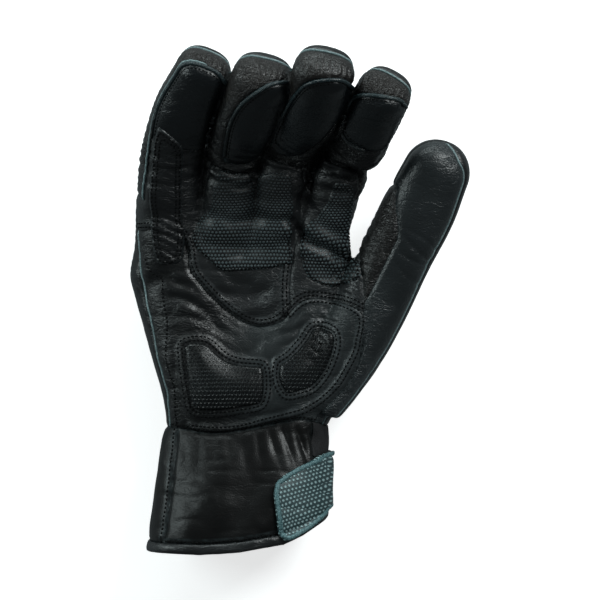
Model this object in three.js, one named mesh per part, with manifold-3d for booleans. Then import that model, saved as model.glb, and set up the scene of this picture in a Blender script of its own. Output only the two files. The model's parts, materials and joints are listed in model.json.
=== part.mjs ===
// A right-hand leather motorcycle glove with a short cuff, lying on its back with the palm up.
// Millimetres, +Z up. The fingers point to +Y and the thumb leans out to +X.
// The tables hold shares of the named sizes; y is measured from the wrist, + towards the fingers.

import * as THREE from "three";
import { mergeVertices } from "three/addons/utils/BufferGeometryUtils.js";
import Module from "manifold-3d";

const wasm = await Module();
wasm.setup();

// The hand and the cuff
const palmWidth = 102; // across the roots of the four fingers
const handLength = 100; // wrist seam to the roots of the fingers
const handDepth = 38; // back of the hand to the palm
const cuffLength = 57; // wrist seam to the hem, on the little finger's side
const handSquareness = 2.9; // 2 is an ellipse, more is squarer
const cuffSquareness = 2.5;
const foldHeight = 1.2; // gathers over the wrist elastic
const foldCount = 8;

// The fingers and the thumb, lengths taken along the middle of each one up to its round tip
const littleLength = 104;
const ringLength = 102;
const middleLength = 110;
const indexLength = 100;
const thumbLength = 122;
const fingerWidth = 26;
const fingerDepth = 25;
const thumbWidth = 33;
const thumbDepth = 29;
const tipRound = 10; // length of the rounded end beyond the last row of a table
const digitSquareness = 2.7;
const wallStrip = 14; // width of the strip that runs round each finger
const thumbSeamHeight = 3; // the thumb's side seam, above the middle of its depth

// Leather, pads, patches and strap
const leather = 2;
const seamGap = 0.3;
const patchThickness = 1;
const sliderThickness = 1.8;
const padThickness = 4;
const strapThickness = 2.2;
const bindingThickness = 0.6; // how far the hem binding stands proud on each side
const bindingWidth = 4.6;
const palmSeamHeight = 26; // side seam between the palm and the back of the hand
const cuffSeamHeight = 13; // side seams between the cuff's side strip and its back
const strapSideSeam = 22; // seam along the cuff's thumb side, under the strap
const gussetWidth = 11; // the thumb's inner strip, as it shows from above
const gussetDepth = 9; // how far it reaches down towards the back of the thumb
const elasticLength = 13; // bare elastic at the thumb side of the wrist

// Sections of the hand, fingers first: left, right and hollow in x and z shares of palmWidth and handDepth
const HAND_ROWS = [
  { y: 1.03, left: -0.69, right: 0.17, top: 0.74, bottom: 0.36, hollow: 0.0 },
  { y: 0.99, left: -0.71, right: 0.19, top: 0.82, bottom: 0.19, hollow: 0.0 },
  { y: 0.88, left: -0.748, right: 0.223, top: 0.93, bottom: 0.0, hollow: 0.03 },
  { y: 0.74, left: -0.779, right: 0.245, top: 0.97, bottom: -0.04, hollow: 0.08 },
  { y: 0.62, left: -0.76, right: 0.235, top: 0.99, bottom: -0.04, hollow: 0.13 },
  { y: 0.48, left: -0.721, right: 0.196, top: 1.0, bottom: -0.04, hollow: 0.16 },
  { y: 0.32, left: -0.676, right: 0.167, top: 1.05, bottom: -0.04, hollow: 0.11 },
  { y: 0.16, left: -0.632, right: 0.157, top: 1.05, bottom: -0.04, hollow: 0.05 },
  { y: 0.03, left: -0.618, right: 0.137, top: 0.97, bottom: -0.03, hollow: 0.03 },
];

// Sections of the cuff, wrist first: y in shares of cuffLength, gather in shares of foldHeight
const CUFF_ROWS = [
  { y: -0.07, left: -0.632, right: 0.134, top: 0.96, bottom: 0.0, gather: 0.6 },
  { y: -0.16, left: -0.64, right: 0.132, top: 1.0, bottom: 0.03, gather: 1.0 },
  { y: -0.28, left: -0.65, right: 0.127, top: 1.07, bottom: 0.07, gather: 0.8 },
  { y: -0.49, left: -0.662, right: 0.123, top: 1.16, bottom: 0.08, gather: 0.2 },
  { y: -0.77, left: -0.686, right: 0.127, top: 1.24, bottom: 0.08, gather: 0.0 },
  { y: -1.16, left: -0.716, right: 0.137, top: 1.32, bottom: 0.075, gather: 0.0 },
];

// Middle line and section of each digit. side, reach and rise are shares of its own length,
// wide and deep are shares of its width and depth, roll turns its little-finger side up in degrees.
const DIGITS = {
  little: {
    root: { x: -0.61, y: 0.732, z: 0.553 },
    length: littleLength,
    width: fingerWidth,
    depth: fingerDepth,
    rows: [
      { side: 0.0, reach: 0.0, rise: 0.0, wide: 1.17, deep: 1.04, roll: 12 },
      { side: 0.008, reach: 0.269, rise: 0.062, wide: 1.17, deep: 1.04, roll: 16 },
      { side: 0.032, reach: 0.498, rise: 0.154, wide: 1.14, deep: 1.04, roll: 18 },
      { side: 0.09, reach: 0.702, rise: 0.279, wide: 1.06, deep: 1.01, roll: 14 },
      { side: 0.18, reach: 0.852, rise: 0.413, wide: 1.0, deep: 0.96, roll: 8 },
    ],
  },
  ring: {
    root: { x: -0.358, y: 0.76, z: 0.553 },
    length: ringLength,
    width: fingerWidth,
    depth: fingerDepth,
    rows: [
      { side: 0.0, reach: 0.0, rise: 0.0, wide: 1.0, deep: 1.04, roll: 0 },
      { side: 0.025, reach: 0.247, rise: 0.069, wide: 0.94, deep: 1.04, roll: 0 },
      { side: 0.049, reach: 0.479, rise: 0.176, wide: 0.9, deep: 1.02, roll: 0 },
      { side: 0.128, reach: 0.656, rise: 0.343, wide: 0.88, deep: 1.0, roll: 0 },
      { side: 0.203, reach: 0.801, rise: 0.51, wide: 0.91, deep: 0.96, roll: 0 },
    ],
  },
  middle: {
    root: { x: -0.123, y: 0.779, z: 0.553 },
    length: middleLength,
    width: fingerWidth,
    depth: fingerDepth,
    rows: [
      { side: 0.0, reach: 0.0, rise: 0.0, wide: 0.96, deep: 1.04, roll: 0 },
      { side: 0.025, reach: 0.212, rise: 0.073, wide: 0.86, deep: 1.04, roll: 0 },
      { side: 0.067, reach: 0.467, rise: 0.195, wide: 0.87, deep: 1.02, roll: 0 },
      { side: 0.168, reach: 0.619, rise: 0.39, wide: 0.88, deep: 1.0, roll: 0 },
      { side: 0.212, reach: 0.743, rise: 0.565, wide: 0.92, deep: 0.96, roll: 0 },
    ],
  },
  index: {
    root: { x: 0.093, y: 0.77, z: 0.553 },
    length: indexLength,
    width: fingerWidth,
    depth: fingerDepth,
    rows: [
      { side: 0.0, reach: 0.0, rise: 0.0, wide: 0.96, deep: 1.04, roll: 0 },
      { side: 0.034, reach: 0.242, rise: 0.08, wide: 0.88, deep: 1.04, roll: 0 },
      { side: 0.127, reach: 0.495, rise: 0.21, wide: 0.93, deep: 1.02, roll: -4 },
      { side: 0.219, reach: 0.637, rise: 0.4, wide: 0.97, deep: 1.0, roll: -4 },
      { side: 0.27, reach: 0.738, rise: 0.55, wide: 0.95, deep: 0.96, roll: -4 },
    ],
  },
  thumb: {
    root: { x: 0.075, y: 0.105, z: 0.526 },
    length: thumbLength,
    width: thumbWidth,
    depth: thumbDepth,
    rows: [
      { side: 0.0, reach: 0.0, rise: 0.0, wide: 0.74, deep: 1.03, roll: 0 },
      { side: 0.109, reach: 0.193, rise: 0.025, wide: 0.98, deep: 1.1, roll: 0 },
      { side: 0.21, reach: 0.386, rise: 0.057, wide: 1.03, deep: 1.03, roll: 4 },
      { side: 0.303, reach: 0.575, rise: 0.098, wide: 1.0, deep: 0.93, roll: 6 },
      { side: 0.388, reach: 0.746, rise: 0.137, wide: 1.02, deep: 0.9, roll: 6 },
      { side: 0.452, reach: 0.887, rise: 0.171, wide: 0.93, deep: 0.85, roll: 6 },
    ],
  },
};
const FINGERS = ["little", "ring", "middle", "index"];

// The rounded end of a digit: shares of tipRound, with the width and depth left there
const TIP_ROWS = [[0.6, 0.88], [1, 0.45]];

// Places along a digit are counted in rows of its table: where a finger leaves its neighbours, and,
// on a row or halfway between two, the seam across its palm side and the ends of the thumb's strip
const webRow = { little: 1.3, ring: 1.35, middle: 1.4, index: 1.4 };
const gussetRows = [2, 4.5];
const jointSeamRow = { little: 2.5, ring: 2, middle: 2, index: 2 };

// Seam lines seen from above: x in shares of palmWidth, y in shares of handLength
const WRIST_SEAM = [
  [-0.95, 0.02], [-0.61, 0.006], [-0.41, -0.021], [-0.27, -0.007], [-0.136, 0.02], [0, 0.04],
  [0.08, 0.025], [0.15, 0.005], [0.4, 0],
];
const CRESCENT_SEAM = [
  [-0.9, 0.92], [-0.59, 0.92], [-0.52, 0.85], [-0.5, 0.739], [-0.432, 0.646], [-0.341, 0.554],
  [-0.25, 0.493], [-0.173, 0.475], [-0.091, 0.498], [-0.045, 0.544], [0, 0.591], [0.045, 0.609],
  [0.136, 0.6], [0.227, 0.577], [0.295, 0.54],
];
const MIDDLE_SEAM = [[-0.045, 0.544], [-0.048, 0.68], [-0.03, 0.82], [0.01, 1.02], [0.03, 1.11]];
const THUMB_SEAM = [
  [0.294, 1.05], [0.265, 0.9], [0.27, 0.78], [0.287, 0.65], [0.291, 0.46], [0.264, 0.3],
  [0.205, 0.19], [0.118, 0.1], [0.069, 0.02], [0.055, -0.05],
];
const CUFF_SIDE_SEAM = [[-0.56, 0.04], [-0.58, -0.187], [-0.6, -0.349], [-0.63, -0.65]];

// The hem, y in shares of cuffLength
const HEM = [
  [-2, -1], [-0.6, -1], [-0.45, -1.003], [-0.27, -0.982], [-0.072, -0.919], [0.014, -0.854],
  [0.131, -0.725], [2, -0.5],
];

// Outlines of patches and pads seen from above: x in shares of palmWidth, y in shares of handLength
const GRIP_OUTER = [
  [-0.486, 0.9], [-0.455, 0.809], [-0.355, 0.739], [-0.173, 0.748], [-0.055, 0.776], [-0.026, 0.9],
  [-0.02, 1.15], [-0.173, 1.175], [-0.355, 1.175], [-0.4, 1.04],
];
const GRIP_INDEX = [
  [0.016, 0.82], [0.036, 0.707], [0.127, 0.66], [0.225, 0.688], [0.25, 0.77], [0.235, 0.9],
  [0.24, 1.12], [0.14, 1.2], [0.05, 1.1],
];
const SLIDER = [
  [-0.66, 0.785], [-0.695, 0.925], [-0.695, 1.11], [-0.65, 1.33], [-0.56, 1.33], [-0.536, 1.203],
  [-0.532, 0.994], [-0.515, 0.78],
];
const HEEL_OUTER = [
  [-0.515, 0.38], [-0.431, 0.392], [-0.34, 0.318], [-0.204, 0.275], [-0.173, 0.174], [-0.255, 0.111],
  [-0.431, 0.096], [-0.498, 0.16],
];
const HEEL_THUMB = [
  [0.041, 0.424], [0.114, 0.447], [0.14, 0.38], [0.114, 0.299], [0.036, 0.202], [-0.064, 0.193],
  [-0.091, 0.285], [-0.009, 0.341],
];

// The strap's tab, y in shares of cuffLength, and its band round the thumb side of the cuff
const STRAP_TAB = [
  [-0.122, -0.52], [-0.1, -0.41], [0.0, -0.3], [0.16, -0.175], [0.3, -0.175], [0.3, -0.61],
  [0.15, -0.61], [0.09, -0.73], [-0.03, -0.885], [-0.09, -0.86], [-0.11, -0.7],
];
const strapBandTop = -0.19;
const strapBandBottom = -0.6;
const strapEnd = -0.08; // where the band ends under the cuff, in x shares of palmWidth
const elasticLeft = 0.06;

const vec = (x, y, z) => new THREE.Vector3(x, y, z);
const signedPower = (value, power) => Math.sign(value) * Math.abs(value) ** power;
const range = (count) => Array.from({ length: count }, (_, i) => i);

// A closed triangle mesh as a solid that can be cut and joined
function solid(geometry) {
  geometry.deleteAttribute("normal");
  geometry.deleteAttribute("uv");
  const merged = mergeVertices(geometry, 1e-4);
  return new wasm.Manifold(new wasm.Mesh({
    numProp: 3,
    vertProperties: Float32Array.from(merged.attributes.position.array),
    triVerts: Uint32Array.from(merged.index.array),
  }));
}

// A solid through closed rings of points, listed in order along it, with its ends closed. The quads
// of the second half of a ring are split the other way, so that thin slabs keep their thickness.
function loft(rings) {
  const count = rings[0].length;
  const points = rings.flat();
  const triangles = [];
  for (let r = 0; r + 1 < rings.length; r += 1) {
    for (let i = 0; i < count; i += 1) {
      const a = r * count + i;
      const b = r * count + ((i + 1) % count);
      if (i < count / 2) triangles.push(a, b, a + count, b, b + count, a + count);
      else triangles.push(a, b, b + count, a, b + count, a + count);
    }
  }
  for (const [start, first, second] of [[0, 1, 0], [(rings.length - 1) * count, 0, 1]]) {
    const middle = vec(0, 0, 0);
    for (let i = 0; i < count; i += 1) middle.addScaledVector(points[start + i], 1 / count);
    points.push(middle);
    for (let i = 0; i < count; i += 1) {
      const pair = [start + i, start + ((i + 1) % count)];
      triangles.push(points.length - 1, pair[first], pair[second]);
    }
  }
  let volume = 0;
  for (let i = 0; i < triangles.length; i += 3) {
    const [a, b, c] = triangles.slice(i, i + 3).map((k) => points[k]);
    volume += a.dot(b.clone().cross(c));
  }
  if (volume < 0) triangles.reverse();
  const geometry = new THREE.BufferGeometry();
  const flat = points.flatMap((p) => p.toArray());
  geometry.setAttribute("position", new THREE.Float32BufferAttribute(flat, 3));
  geometry.setIndex(triangles);
  return solid(geometry);
}

function box(low, high) {
  const size = high.clone().sub(low);
  const geometry = new THREE.BoxGeometry(size.x, size.y, size.z);
  const middle = low.clone().add(high).multiplyScalar(0.5);
  geometry.translate(middle.x, middle.y, middle.z);
  return solid(geometry);
}

function prism(outline, bottom, top) {
  const shape = new THREE.Shape(outline.map((p) => new THREE.Vector2(p.x, p.y)));
  const geometry = new THREE.ExtrudeGeometry(shape, { depth: top - bottom, bevelEnabled: false });
  geometry.translate(0, 0, bottom);
  return solid(geometry);
}

const lineOf = (line, yUnit) => line.map(([x, y]) => vec(x * palmWidth, y * yUnit, 0));

function smoothLoop(line, yUnit) {
  const loop = new THREE.CatmullRomCurve3(lineOf(line, yUnit), true, "centripetal");
  return loop.getPoints(line.length * 2).slice(0, -1);
}

// A thin upright wall along a line seen from above, which leaves a seam where it is cut away
function seamWall(line, yUnit, bottom, top) {
  const points = lineOf(line, yUnit);
  const sides = [1, -1].map((sign) => points.map((point, i) => {
    const before = points[Math.max(i - 1, 0)];
    const after = points[Math.min(i + 1, points.length - 1)];
    const along = after.clone().sub(before).normalize();
    return vec(-along.y, along.x, 0).multiplyScalar((sign * seamGap) / 2).add(point);
  }));
  return prism([...sides[0], ...sides[1].reverse()], bottom, top);
}

// The named columns at a place between the rows of a table, on a smooth curve through them
function between(rows, place) {
  const last = rows.length - 1;
  const i = Math.min(Math.max(Math.floor(place), 0), last - 1);
  const u = place - i;
  const value = (k, key) => {
    if (k < 0) return 2 * rows[0][key] - rows[1][key];
    if (k > last) return 2 * rows[last][key] - rows[last - 1][key];
    return rows[k][key];
  };
  const result = {};
  for (const key of Object.keys(rows[0])) {
    const [p0, p1, p2, p3] = [i - 1, i, i + 1, i + 2].map((k) => value(k, key));
    const cubic = 2 * p0 - 5 * p1 + 4 * p2 - p3 + u * (3 * (p1 - p2) + p3 - p0);
    result[key] = p1 + 0.5 * u * (p2 - p0 + u * cubic);
  }
  return result;
}

// Place, directions and half sizes of a digit at a row place, or some way past its last row
function station(digit, place, past = 0) {
  const at = (t) => {
    const row = between(digit.rows, t);
    return vec(
      digit.root.x * palmWidth + row.side * digit.length,
      digit.root.y * handLength + row.reach * digit.length,
      digit.root.z * handDepth + row.rise * digit.length,
    );
  };
  const row = between(digit.rows, place);
  const along = at(place + 0.02).sub(at(place - 0.02)).normalize();
  const across = along.clone().cross(vec(0, 0, 1)).normalize();
  const up = across.clone().cross(along);
  const roll = THREE.MathUtils.degToRad(row.roll);
  across.applyAxisAngle(along, roll);
  up.applyAxisAngle(along, roll);
  return {
    middle: at(place).addScaledVector(along, past),
    across,
    up,
    halfWidth: (row.wide * digit.width) / 2,
    halfDepth: (row.deep * digit.depth) / 2,
  };
}

function placed(at, x, z) {
  return at.middle.clone().addScaledVector(at.across, x).addScaledVector(at.up, z);
}

const lastRow = (digit) => digit.rows.length - 1;

// One finger or thumb as a solid, grown outwards by an amount, or shrunk if it is negative
function digitSolid(digit, grow) {
  const sides = 8;
  const end = lastRow(digit);
  const stations = [{ at: station(digit, 0, -grow), scale: 1 }];
  for (let place = 1; place <= end; place += 0.5) {
    stations.push({ at: station(digit, place), scale: 1 });
  }
  for (const [share, scale] of TIP_ROWS) {
    stations.push({ at: station(digit, end, share * (tipRound + grow)), scale });
  }
  return loft(stations.map(({ at, scale }) => range(sides).map((i) => {
    const angle = (i / sides) * 2 * Math.PI;
    const x = signedPower(Math.cos(angle), 2 / digitSquareness) * (at.halfWidth + grow) * scale;
    const z = signedPower(Math.sin(angle), 2 / digitSquareness) * (at.halfDepth + grow) * scale;
    return placed(at, x, z);
  })));
}

// A box that follows a digit between two row places, and past its end if asked
function slab(digit, from, to, x0, x1, z0, z1, past = 0) {
  const places = [from, ...range(40).map((i) => i / 2).filter((t) => t > from && t < to), to];
  const stations = places.map((place) => station(digit, place));
  if (past > 0) stations.push(station(digit, to, past));
  const corners = [[x0, z0], [x1, z0], [x1, z1], [x0, z1]];
  return loft(stations.map((at) => corners.map(([x, z]) => placed(at, x, z))));
}

// One ring of the hand or the cuff. Along the palm side every second point is the crest of a fold.
function handRing(row, y, grow, squareness) {
  const bottomSides = 6;
  const left = row.left * palmWidth - grow;
  const right = row.right * palmWidth + grow;
  const top = row.top * handDepth + grow;
  const bottom = row.bottom * handDepth - grow;
  const angles = [
    ...range(2 * foldCount).map((i) => (i / (2 * foldCount)) * Math.PI),
    ...range(bottomSides).map((i) => Math.PI + (i / bottomSides) * Math.PI),
  ];
  return angles.map((angle, i) => {
    const across = Math.cos(angle);
    const height = Math.sign(Math.sin(angle)) * (1 - Math.abs(across) ** squareness) ** (1 / squareness);
    const spread = (across * (right - left)) / (0.44 * palmWidth);
    const hollow = (row.hollow || 0) * handDepth * Math.exp(-spread * spread);
    const fold = (row.gather || 0) * foldHeight * (i % 2 ? 1 : -1);
    const upper = Math.max(height, 0) ** 2 * (fold - hollow);
    return vec(
      (left + right + across * (right - left)) / 2,
      y,
      (top + bottom + height * (top - bottom)) / 2 + upper,
    );
  });
}

// The hand, the cuff and all digits joined, grown outwards by an amount and flat where they rest
function form(grow) {
  const handY = (row, i) => row.y * handLength + (i === 0 ? grow : 0);
  const rings = [
    ...HAND_ROWS.map((row, i) => handRing(row, handY(row, i), grow, handSquareness)),
    ...CUFF_ROWS.map((row) => handRing(row, row.y * cuffLength, grow, cuffSquareness)),
  ];
  let joined = loft(rings);
  for (const digit of Object.values(DIGITS)) joined = joined.add(digitSolid(digit, grow));
  return joined.intersect(box(vec(-400, -400, Math.max(0, -grow)), vec(400, 400, 400)));
}

// Everything beyond a line seen from above: out to a far y, or out to a far x
function beyond(line, yUnit, far) {
  const points = lineOf(line, yUnit);
  const ends = [points[points.length - 1], points[0]];
  const corners = ends.map((p) => vec(far.x ?? p.x, far.y ?? p.y, 0));
  return prism([...points, ...corners], -50, 200);
}

// The border of a block, as thick as a seam
function border(block) {
  return block(seamGap / 2).subtract(block(-seamGap / 2));
}

const half = seamGap / 2;
const far = 400;
const gap = (z0) => [z0 - half, z0 + half];
const skin = form(0).subtract(form(-leather));

// Fingers: two seams along the strip, one across at the root and one across the palm side.
// palmSide is what the palm's pieces may cover: the palm, and the fingers up to that last seam.
const fingerSeams = [];
let fingerZones = null;
let palmSide = box(vec(-far, -far, palmSeamHeight), vec(far, handLength, far));
for (const name of FINGERS) {
  const digit = DIGITS[name];
  const end = lastRow(digit);
  const reach = digit.width;
  const edge = wallStrip / 2;
  const step = (half / digit.length) * end;
  const joint = jointSeamRow[name];
  const web = webRow[name];
  const own = digitSolid(digit, 1);
  const cuts = [
    slab(digit, web, end, -reach, reach, ...gap(edge), 2 * tipRound),
    slab(digit, web, end, -reach, reach, ...gap(-edge), 2 * tipRound),
    slab(digit, web - step, web + step, -reach, reach, -reach, edge),
    slab(digit, joint - step, joint + step, -reach, reach, edge, reach),
  ];
  for (const cut of cuts) fingerSeams.push(cut.intersect(own));
  const zone = slab(digit, web, end, -reach, reach, -reach, reach, 2 * tipRound).intersect(own);
  fingerZones = fingerZones ? fingerZones.add(zone) : zone;
  palmSide = palmSide.add(slab(digit, web - 0.5, joint - 3 * step, -reach, reach, edge + half, reach));
}

// Thumb: one seam along its side and round its tip, and the border of its inner strip
const thumb = DIGITS.thumb;
const thumbEnd = lastRow(thumb);
const palmBlock = beyond(THUMB_SEAM, handLength, { x: -far });
const thumbBlock = beyond(THUMB_SEAM, handLength, { x: far });
const gusset = (grow) => slab(
  thumb, gussetRows[0] - (grow / thumb.length) * thumbEnd, gussetRows[1] + (grow / thumb.length) * thumbEnd,
  -thumb.width, gussetWidth - thumb.width / 2 + grow, -gussetDepth - grow, thumb.width,
);
const thumbZone = digitSolid(thumb, 1).add(thumbBlock).subtract(palmBlock);
const thumbSeams = [
  slab(thumb, -1, thumbEnd, -thumb.width, thumb.width, ...gap(thumbSeamHeight), 2 * tipRound)
    .subtract(gusset(half)),
  border(gusset),
].map((cut) => cut.intersect(thumbZone));

// Palm and side of the hand
const cuffBlock = beyond(WRIST_SEAM, handLength, { y: -far });
const handSeams = [
  box(vec(-far, -far, palmSeamHeight - half), vec(far, far, palmSeamHeight + half))
    .subtract(fingerZones).subtract(thumbZone).subtract(cuffBlock),
  seamWall(CRESCENT_SEAM, handLength, palmSeamHeight, far),
  seamWall(MIDDLE_SEAM, handLength, palmSeamHeight, far),
  seamWall(THUMB_SEAM, handLength, -1, far),
  seamWall(WRIST_SEAM, handLength, -1, far),
];

// Cuff: the side strip, the bare elastic and the seam along its thumb side
const elastic = (grow) => box(
  vec(elasticLeft * palmWidth - grow, -elasticLength - grow, cuffSeamHeight - grow),
  vec(far, far, far),
);
const cuffSeams = [
  seamWall(CUFF_SIDE_SEAM, handLength, 0.5 * handDepth, far),
  box(vec(-far, -far, cuffSeamHeight - half), vec(-0.4 * palmWidth, far, cuffSeamHeight + half)),
  box(vec(-0.2 * palmWidth, -far, strapSideSeam - half), vec(far, far, strapSideSeam + half))
    .subtract(elastic(half)),
  border(elastic),
].map((cut) => cut.intersect(cuffBlock));

const raised = (line, rise) => line.map(([x, y]) => [x, y + rise / cuffLength]);
const aboveBinding = beyond(raised(HEM, bindingWidth), cuffLength, { y: far });
const hemBand = beyond(HEM, cuffLength, { y: far })
  .subtract(beyond(raised(HEM, bindingWidth - seamGap), cuffLength, { y: far }));

let cut = skin.intersect(aboveBinding);
for (const seam of [...handSeams, ...cuffSeams, ...fingerSeams, ...thumbSeams]) cut = cut.subtract(seam);
const panels = cut.decompose();

// The panel of leather that a point lies in
function panelAt(point) {
  const probe = box(point.clone().subScalar(leather / 2), point.clone().addScalar(leather / 2));
  let best = null;
  let most = 0;
  for (const panel of panels) {
    const shared = panel.intersect(probe).volume();
    if (shared > most) [best, most] = [panel, shared];
  }
  return best;
}

// A point in the wall of a digit, at a row place, towards a side and up or down
function inWall(digit, place, across, up) {
  const at = station(digit, place);
  return placed(at, across * (at.halfWidth - leather / 2), up * (at.halfDepth - leather / 2));
}

// A point in the wall of the hand or cuff above or below a place seen from above
function inSkin(x, y, fromTop) {
  const column = box(vec(x - 0.5, y - 0.5, -1), vec(x + 0.5, y + 0.5, far)).intersect(skin).boundingBox();
  return vec(x, y, fromTop ? column.max[2] - leather / 2 : column.min[2] + leather / 2);
}

// A piece that lies on the palm side of the glove, inside an outline seen from above
function laidOn(outline, yUnit, low, high, region) {
  const shape = prism(smoothLoop(outline, yUnit), -1, far);
  const pieces = form(high).subtract(form(low)).intersect(shape).intersect(region).decompose();
  return pieces.sort((a, b) => b.volume() - a.volume())[0];
}

const strapBand = box(
  vec(strapEnd * palmWidth, strapBandBottom * cuffLength, -1),
  vec(far, strapBandTop * cuffLength, strapSideSeam),
);
const strapInside = bindingThickness + seamGap;
const strapShell = form(strapInside + strapThickness).subtract(form(strapInside));
const strapTab = prism(smoothLoop(STRAP_TAB, cuffLength), strapSideSeam - 1, far);

const x = (share) => share * palmWidth;
const y = (share) => share * handLength;
const cuffY = (share) => -share * cuffLength;
const pieces = {
  palm_outer: [panelAt(inSkin(x(-0.3), y(0.6), true)), "leather"],
  palm_inner: [panelAt(inSkin(x(0.15), y(0.75), true)), "leather"],
  palm_heel: [panelAt(inSkin(x(-0.2), y(0.4), true)), "leather"],
  back_panel: [panelAt(inSkin(x(-0.2), y(0.4), false)), "leather"],
  thumb_front: [panelAt(inWall(thumb, 3.5, 0.2, 1)), "leather"],
  thumb_back: [panelAt(inWall(thumb, 3.5, 0.2, -1)), "leather"],
  thumb_gusset: [panelAt(inWall(thumb, 3.2, -1, 0)), "strip"],
  cuff_front: [panelAt(inSkin(x(-0.2), cuffY(0.5), true)), "leather"],
  cuff_side: [panelAt(inSkin(x(-0.63), cuffY(0.5), true)), "leather"],
  cuff_back: [panelAt(inSkin(x(-0.2), cuffY(0.5), false)), "leather"],
  wrist_elastic: [panelAt(inSkin(x(0.1), cuffY(0.15), true)), "elastic"],
  hem_binding: [
    form(bindingThickness).subtract(form(-leather - bindingThickness)).intersect(hemBand),
    "leather",
  ],
  grip_patch_outer: [laidOn(GRIP_OUTER, handLength, seamGap, seamGap + patchThickness, palmSide), "grip"],
  grip_patch_index: [laidOn(GRIP_INDEX, handLength, seamGap, seamGap + patchThickness, palmSide), "grip"],
  side_slider: [laidOn(SLIDER, handLength, seamGap, seamGap + sliderThickness, palmSide), "leather"],
  heel_pad_outer: [laidOn(HEEL_OUTER, handLength, seamGap, seamGap + padThickness, palmSide), "pad"],
  heel_pad_thumb: [laidOn(HEEL_THUMB, handLength, seamGap, seamGap + padThickness, palmSide), "pad"],
  strap_tab: [strapShell.intersect(strapBand.add(strapTab)), "strap"],
};
for (const name of FINGERS) {
  const digit = DIGITS[name];
  const place = lastRow(digit) - 0.5;
  pieces[`finger_front_${name}`] = [panelAt(inWall(digit, place, 0, 1)), "leather"];
  pieces[`finger_wall_${name}`] = [panelAt(inWall(digit, place, 1, 0)), "strip"];
  pieces[`finger_back_${name}`] = [panelAt(inWall(digit, place, 0, -1)), "leather"];
}

const MATERIALS = {
  leather: { color: 0x1b1c1e, roughness: 0.5, metalness: 0 },
  strip: { color: 0x262322, roughness: 0.55, metalness: 0 },
  pad: { color: 0x1f2021, roughness: 0.6, metalness: 0 },
  grip: { color: 0x232528, roughness: 0.75, metalness: 0 },
  strap: { color: 0x3b4143, roughness: 0.65, metalness: 0 },
  elastic: { color: 0x0e0e10, roughness: 0.9, metalness: 0 },
};

const glove = new THREE.Group();
for (const [name, [piece, material]] of Object.entries(pieces)) {
  const { vertProperties, triVerts } = piece.getMesh();
  const geometry = new THREE.BufferGeometry();
  geometry.setAttribute("position", new THREE.Float32BufferAttribute(vertProperties, 3));
  geometry.setIndex(Array.from(triVerts));
  const mesh = new THREE.Mesh(geometry, new THREE.MeshStandardMaterial(MATERIALS[material]));
  mesh.name = name;
  glove.add(mesh);
}

// The origin is under the middle of the glove's bounding box, on the surface that it lies on
const bounds = new THREE.Box3().setFromObject(glove);
glove.position.set(-(bounds.min.x + bounds.max.x) / 2, -(bounds.min.y + bounds.max.y) / 2, -bounds.min.z);

export default glove;
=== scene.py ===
# A right-hand leather motorcycle glove with a short cuff, lying on its back with the palm up.
# Lengths are millimetres from the wrist, + y towards the fingers, and become metres in each mesh.

import json
import math

import bpy
import numpy as np
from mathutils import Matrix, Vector

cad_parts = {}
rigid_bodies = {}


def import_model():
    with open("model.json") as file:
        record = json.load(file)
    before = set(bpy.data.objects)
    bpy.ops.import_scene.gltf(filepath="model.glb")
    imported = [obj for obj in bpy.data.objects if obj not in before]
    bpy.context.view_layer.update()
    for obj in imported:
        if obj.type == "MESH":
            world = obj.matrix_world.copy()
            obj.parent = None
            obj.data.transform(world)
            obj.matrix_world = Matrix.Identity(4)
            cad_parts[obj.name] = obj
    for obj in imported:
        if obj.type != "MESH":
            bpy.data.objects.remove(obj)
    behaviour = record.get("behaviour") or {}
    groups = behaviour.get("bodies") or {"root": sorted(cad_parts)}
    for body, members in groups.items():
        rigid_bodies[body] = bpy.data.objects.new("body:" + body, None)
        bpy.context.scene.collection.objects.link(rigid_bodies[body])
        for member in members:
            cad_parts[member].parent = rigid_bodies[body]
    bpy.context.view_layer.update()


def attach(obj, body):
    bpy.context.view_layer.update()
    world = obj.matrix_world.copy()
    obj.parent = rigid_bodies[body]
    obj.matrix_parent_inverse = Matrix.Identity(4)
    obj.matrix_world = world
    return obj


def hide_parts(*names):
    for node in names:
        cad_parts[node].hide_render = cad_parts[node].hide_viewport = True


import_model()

MM = 0.001
WRIST = np.array([0.944, -58.695, 0.0])  # where the wrist lies in the row's frame

# ---- sizes of the hand, the cuff and the digits, as in the solids

PALM_WIDTH = 102
HAND_LENGTH = 100
HAND_DEPTH = 38
CUFF_LENGTH = 57
TIP_ROUND = {"little": 11, "ring": 11, "middle": 11, "index": 11, "thumb": 15.5}
TIP_POWER = {"little": 3, "ring": 3, "middle": 3, "index": 3, "thumb": 2}
DIGIT_SQUARENESS = 2.6
STRIP = 7  # the strip round each finger, from the middle of its depth up to the palm side's seam
STRIP_BACK = 5  # and down to the back's seam
LEATHER = 1.7
BINDING_WIDTH = 4.6

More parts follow.
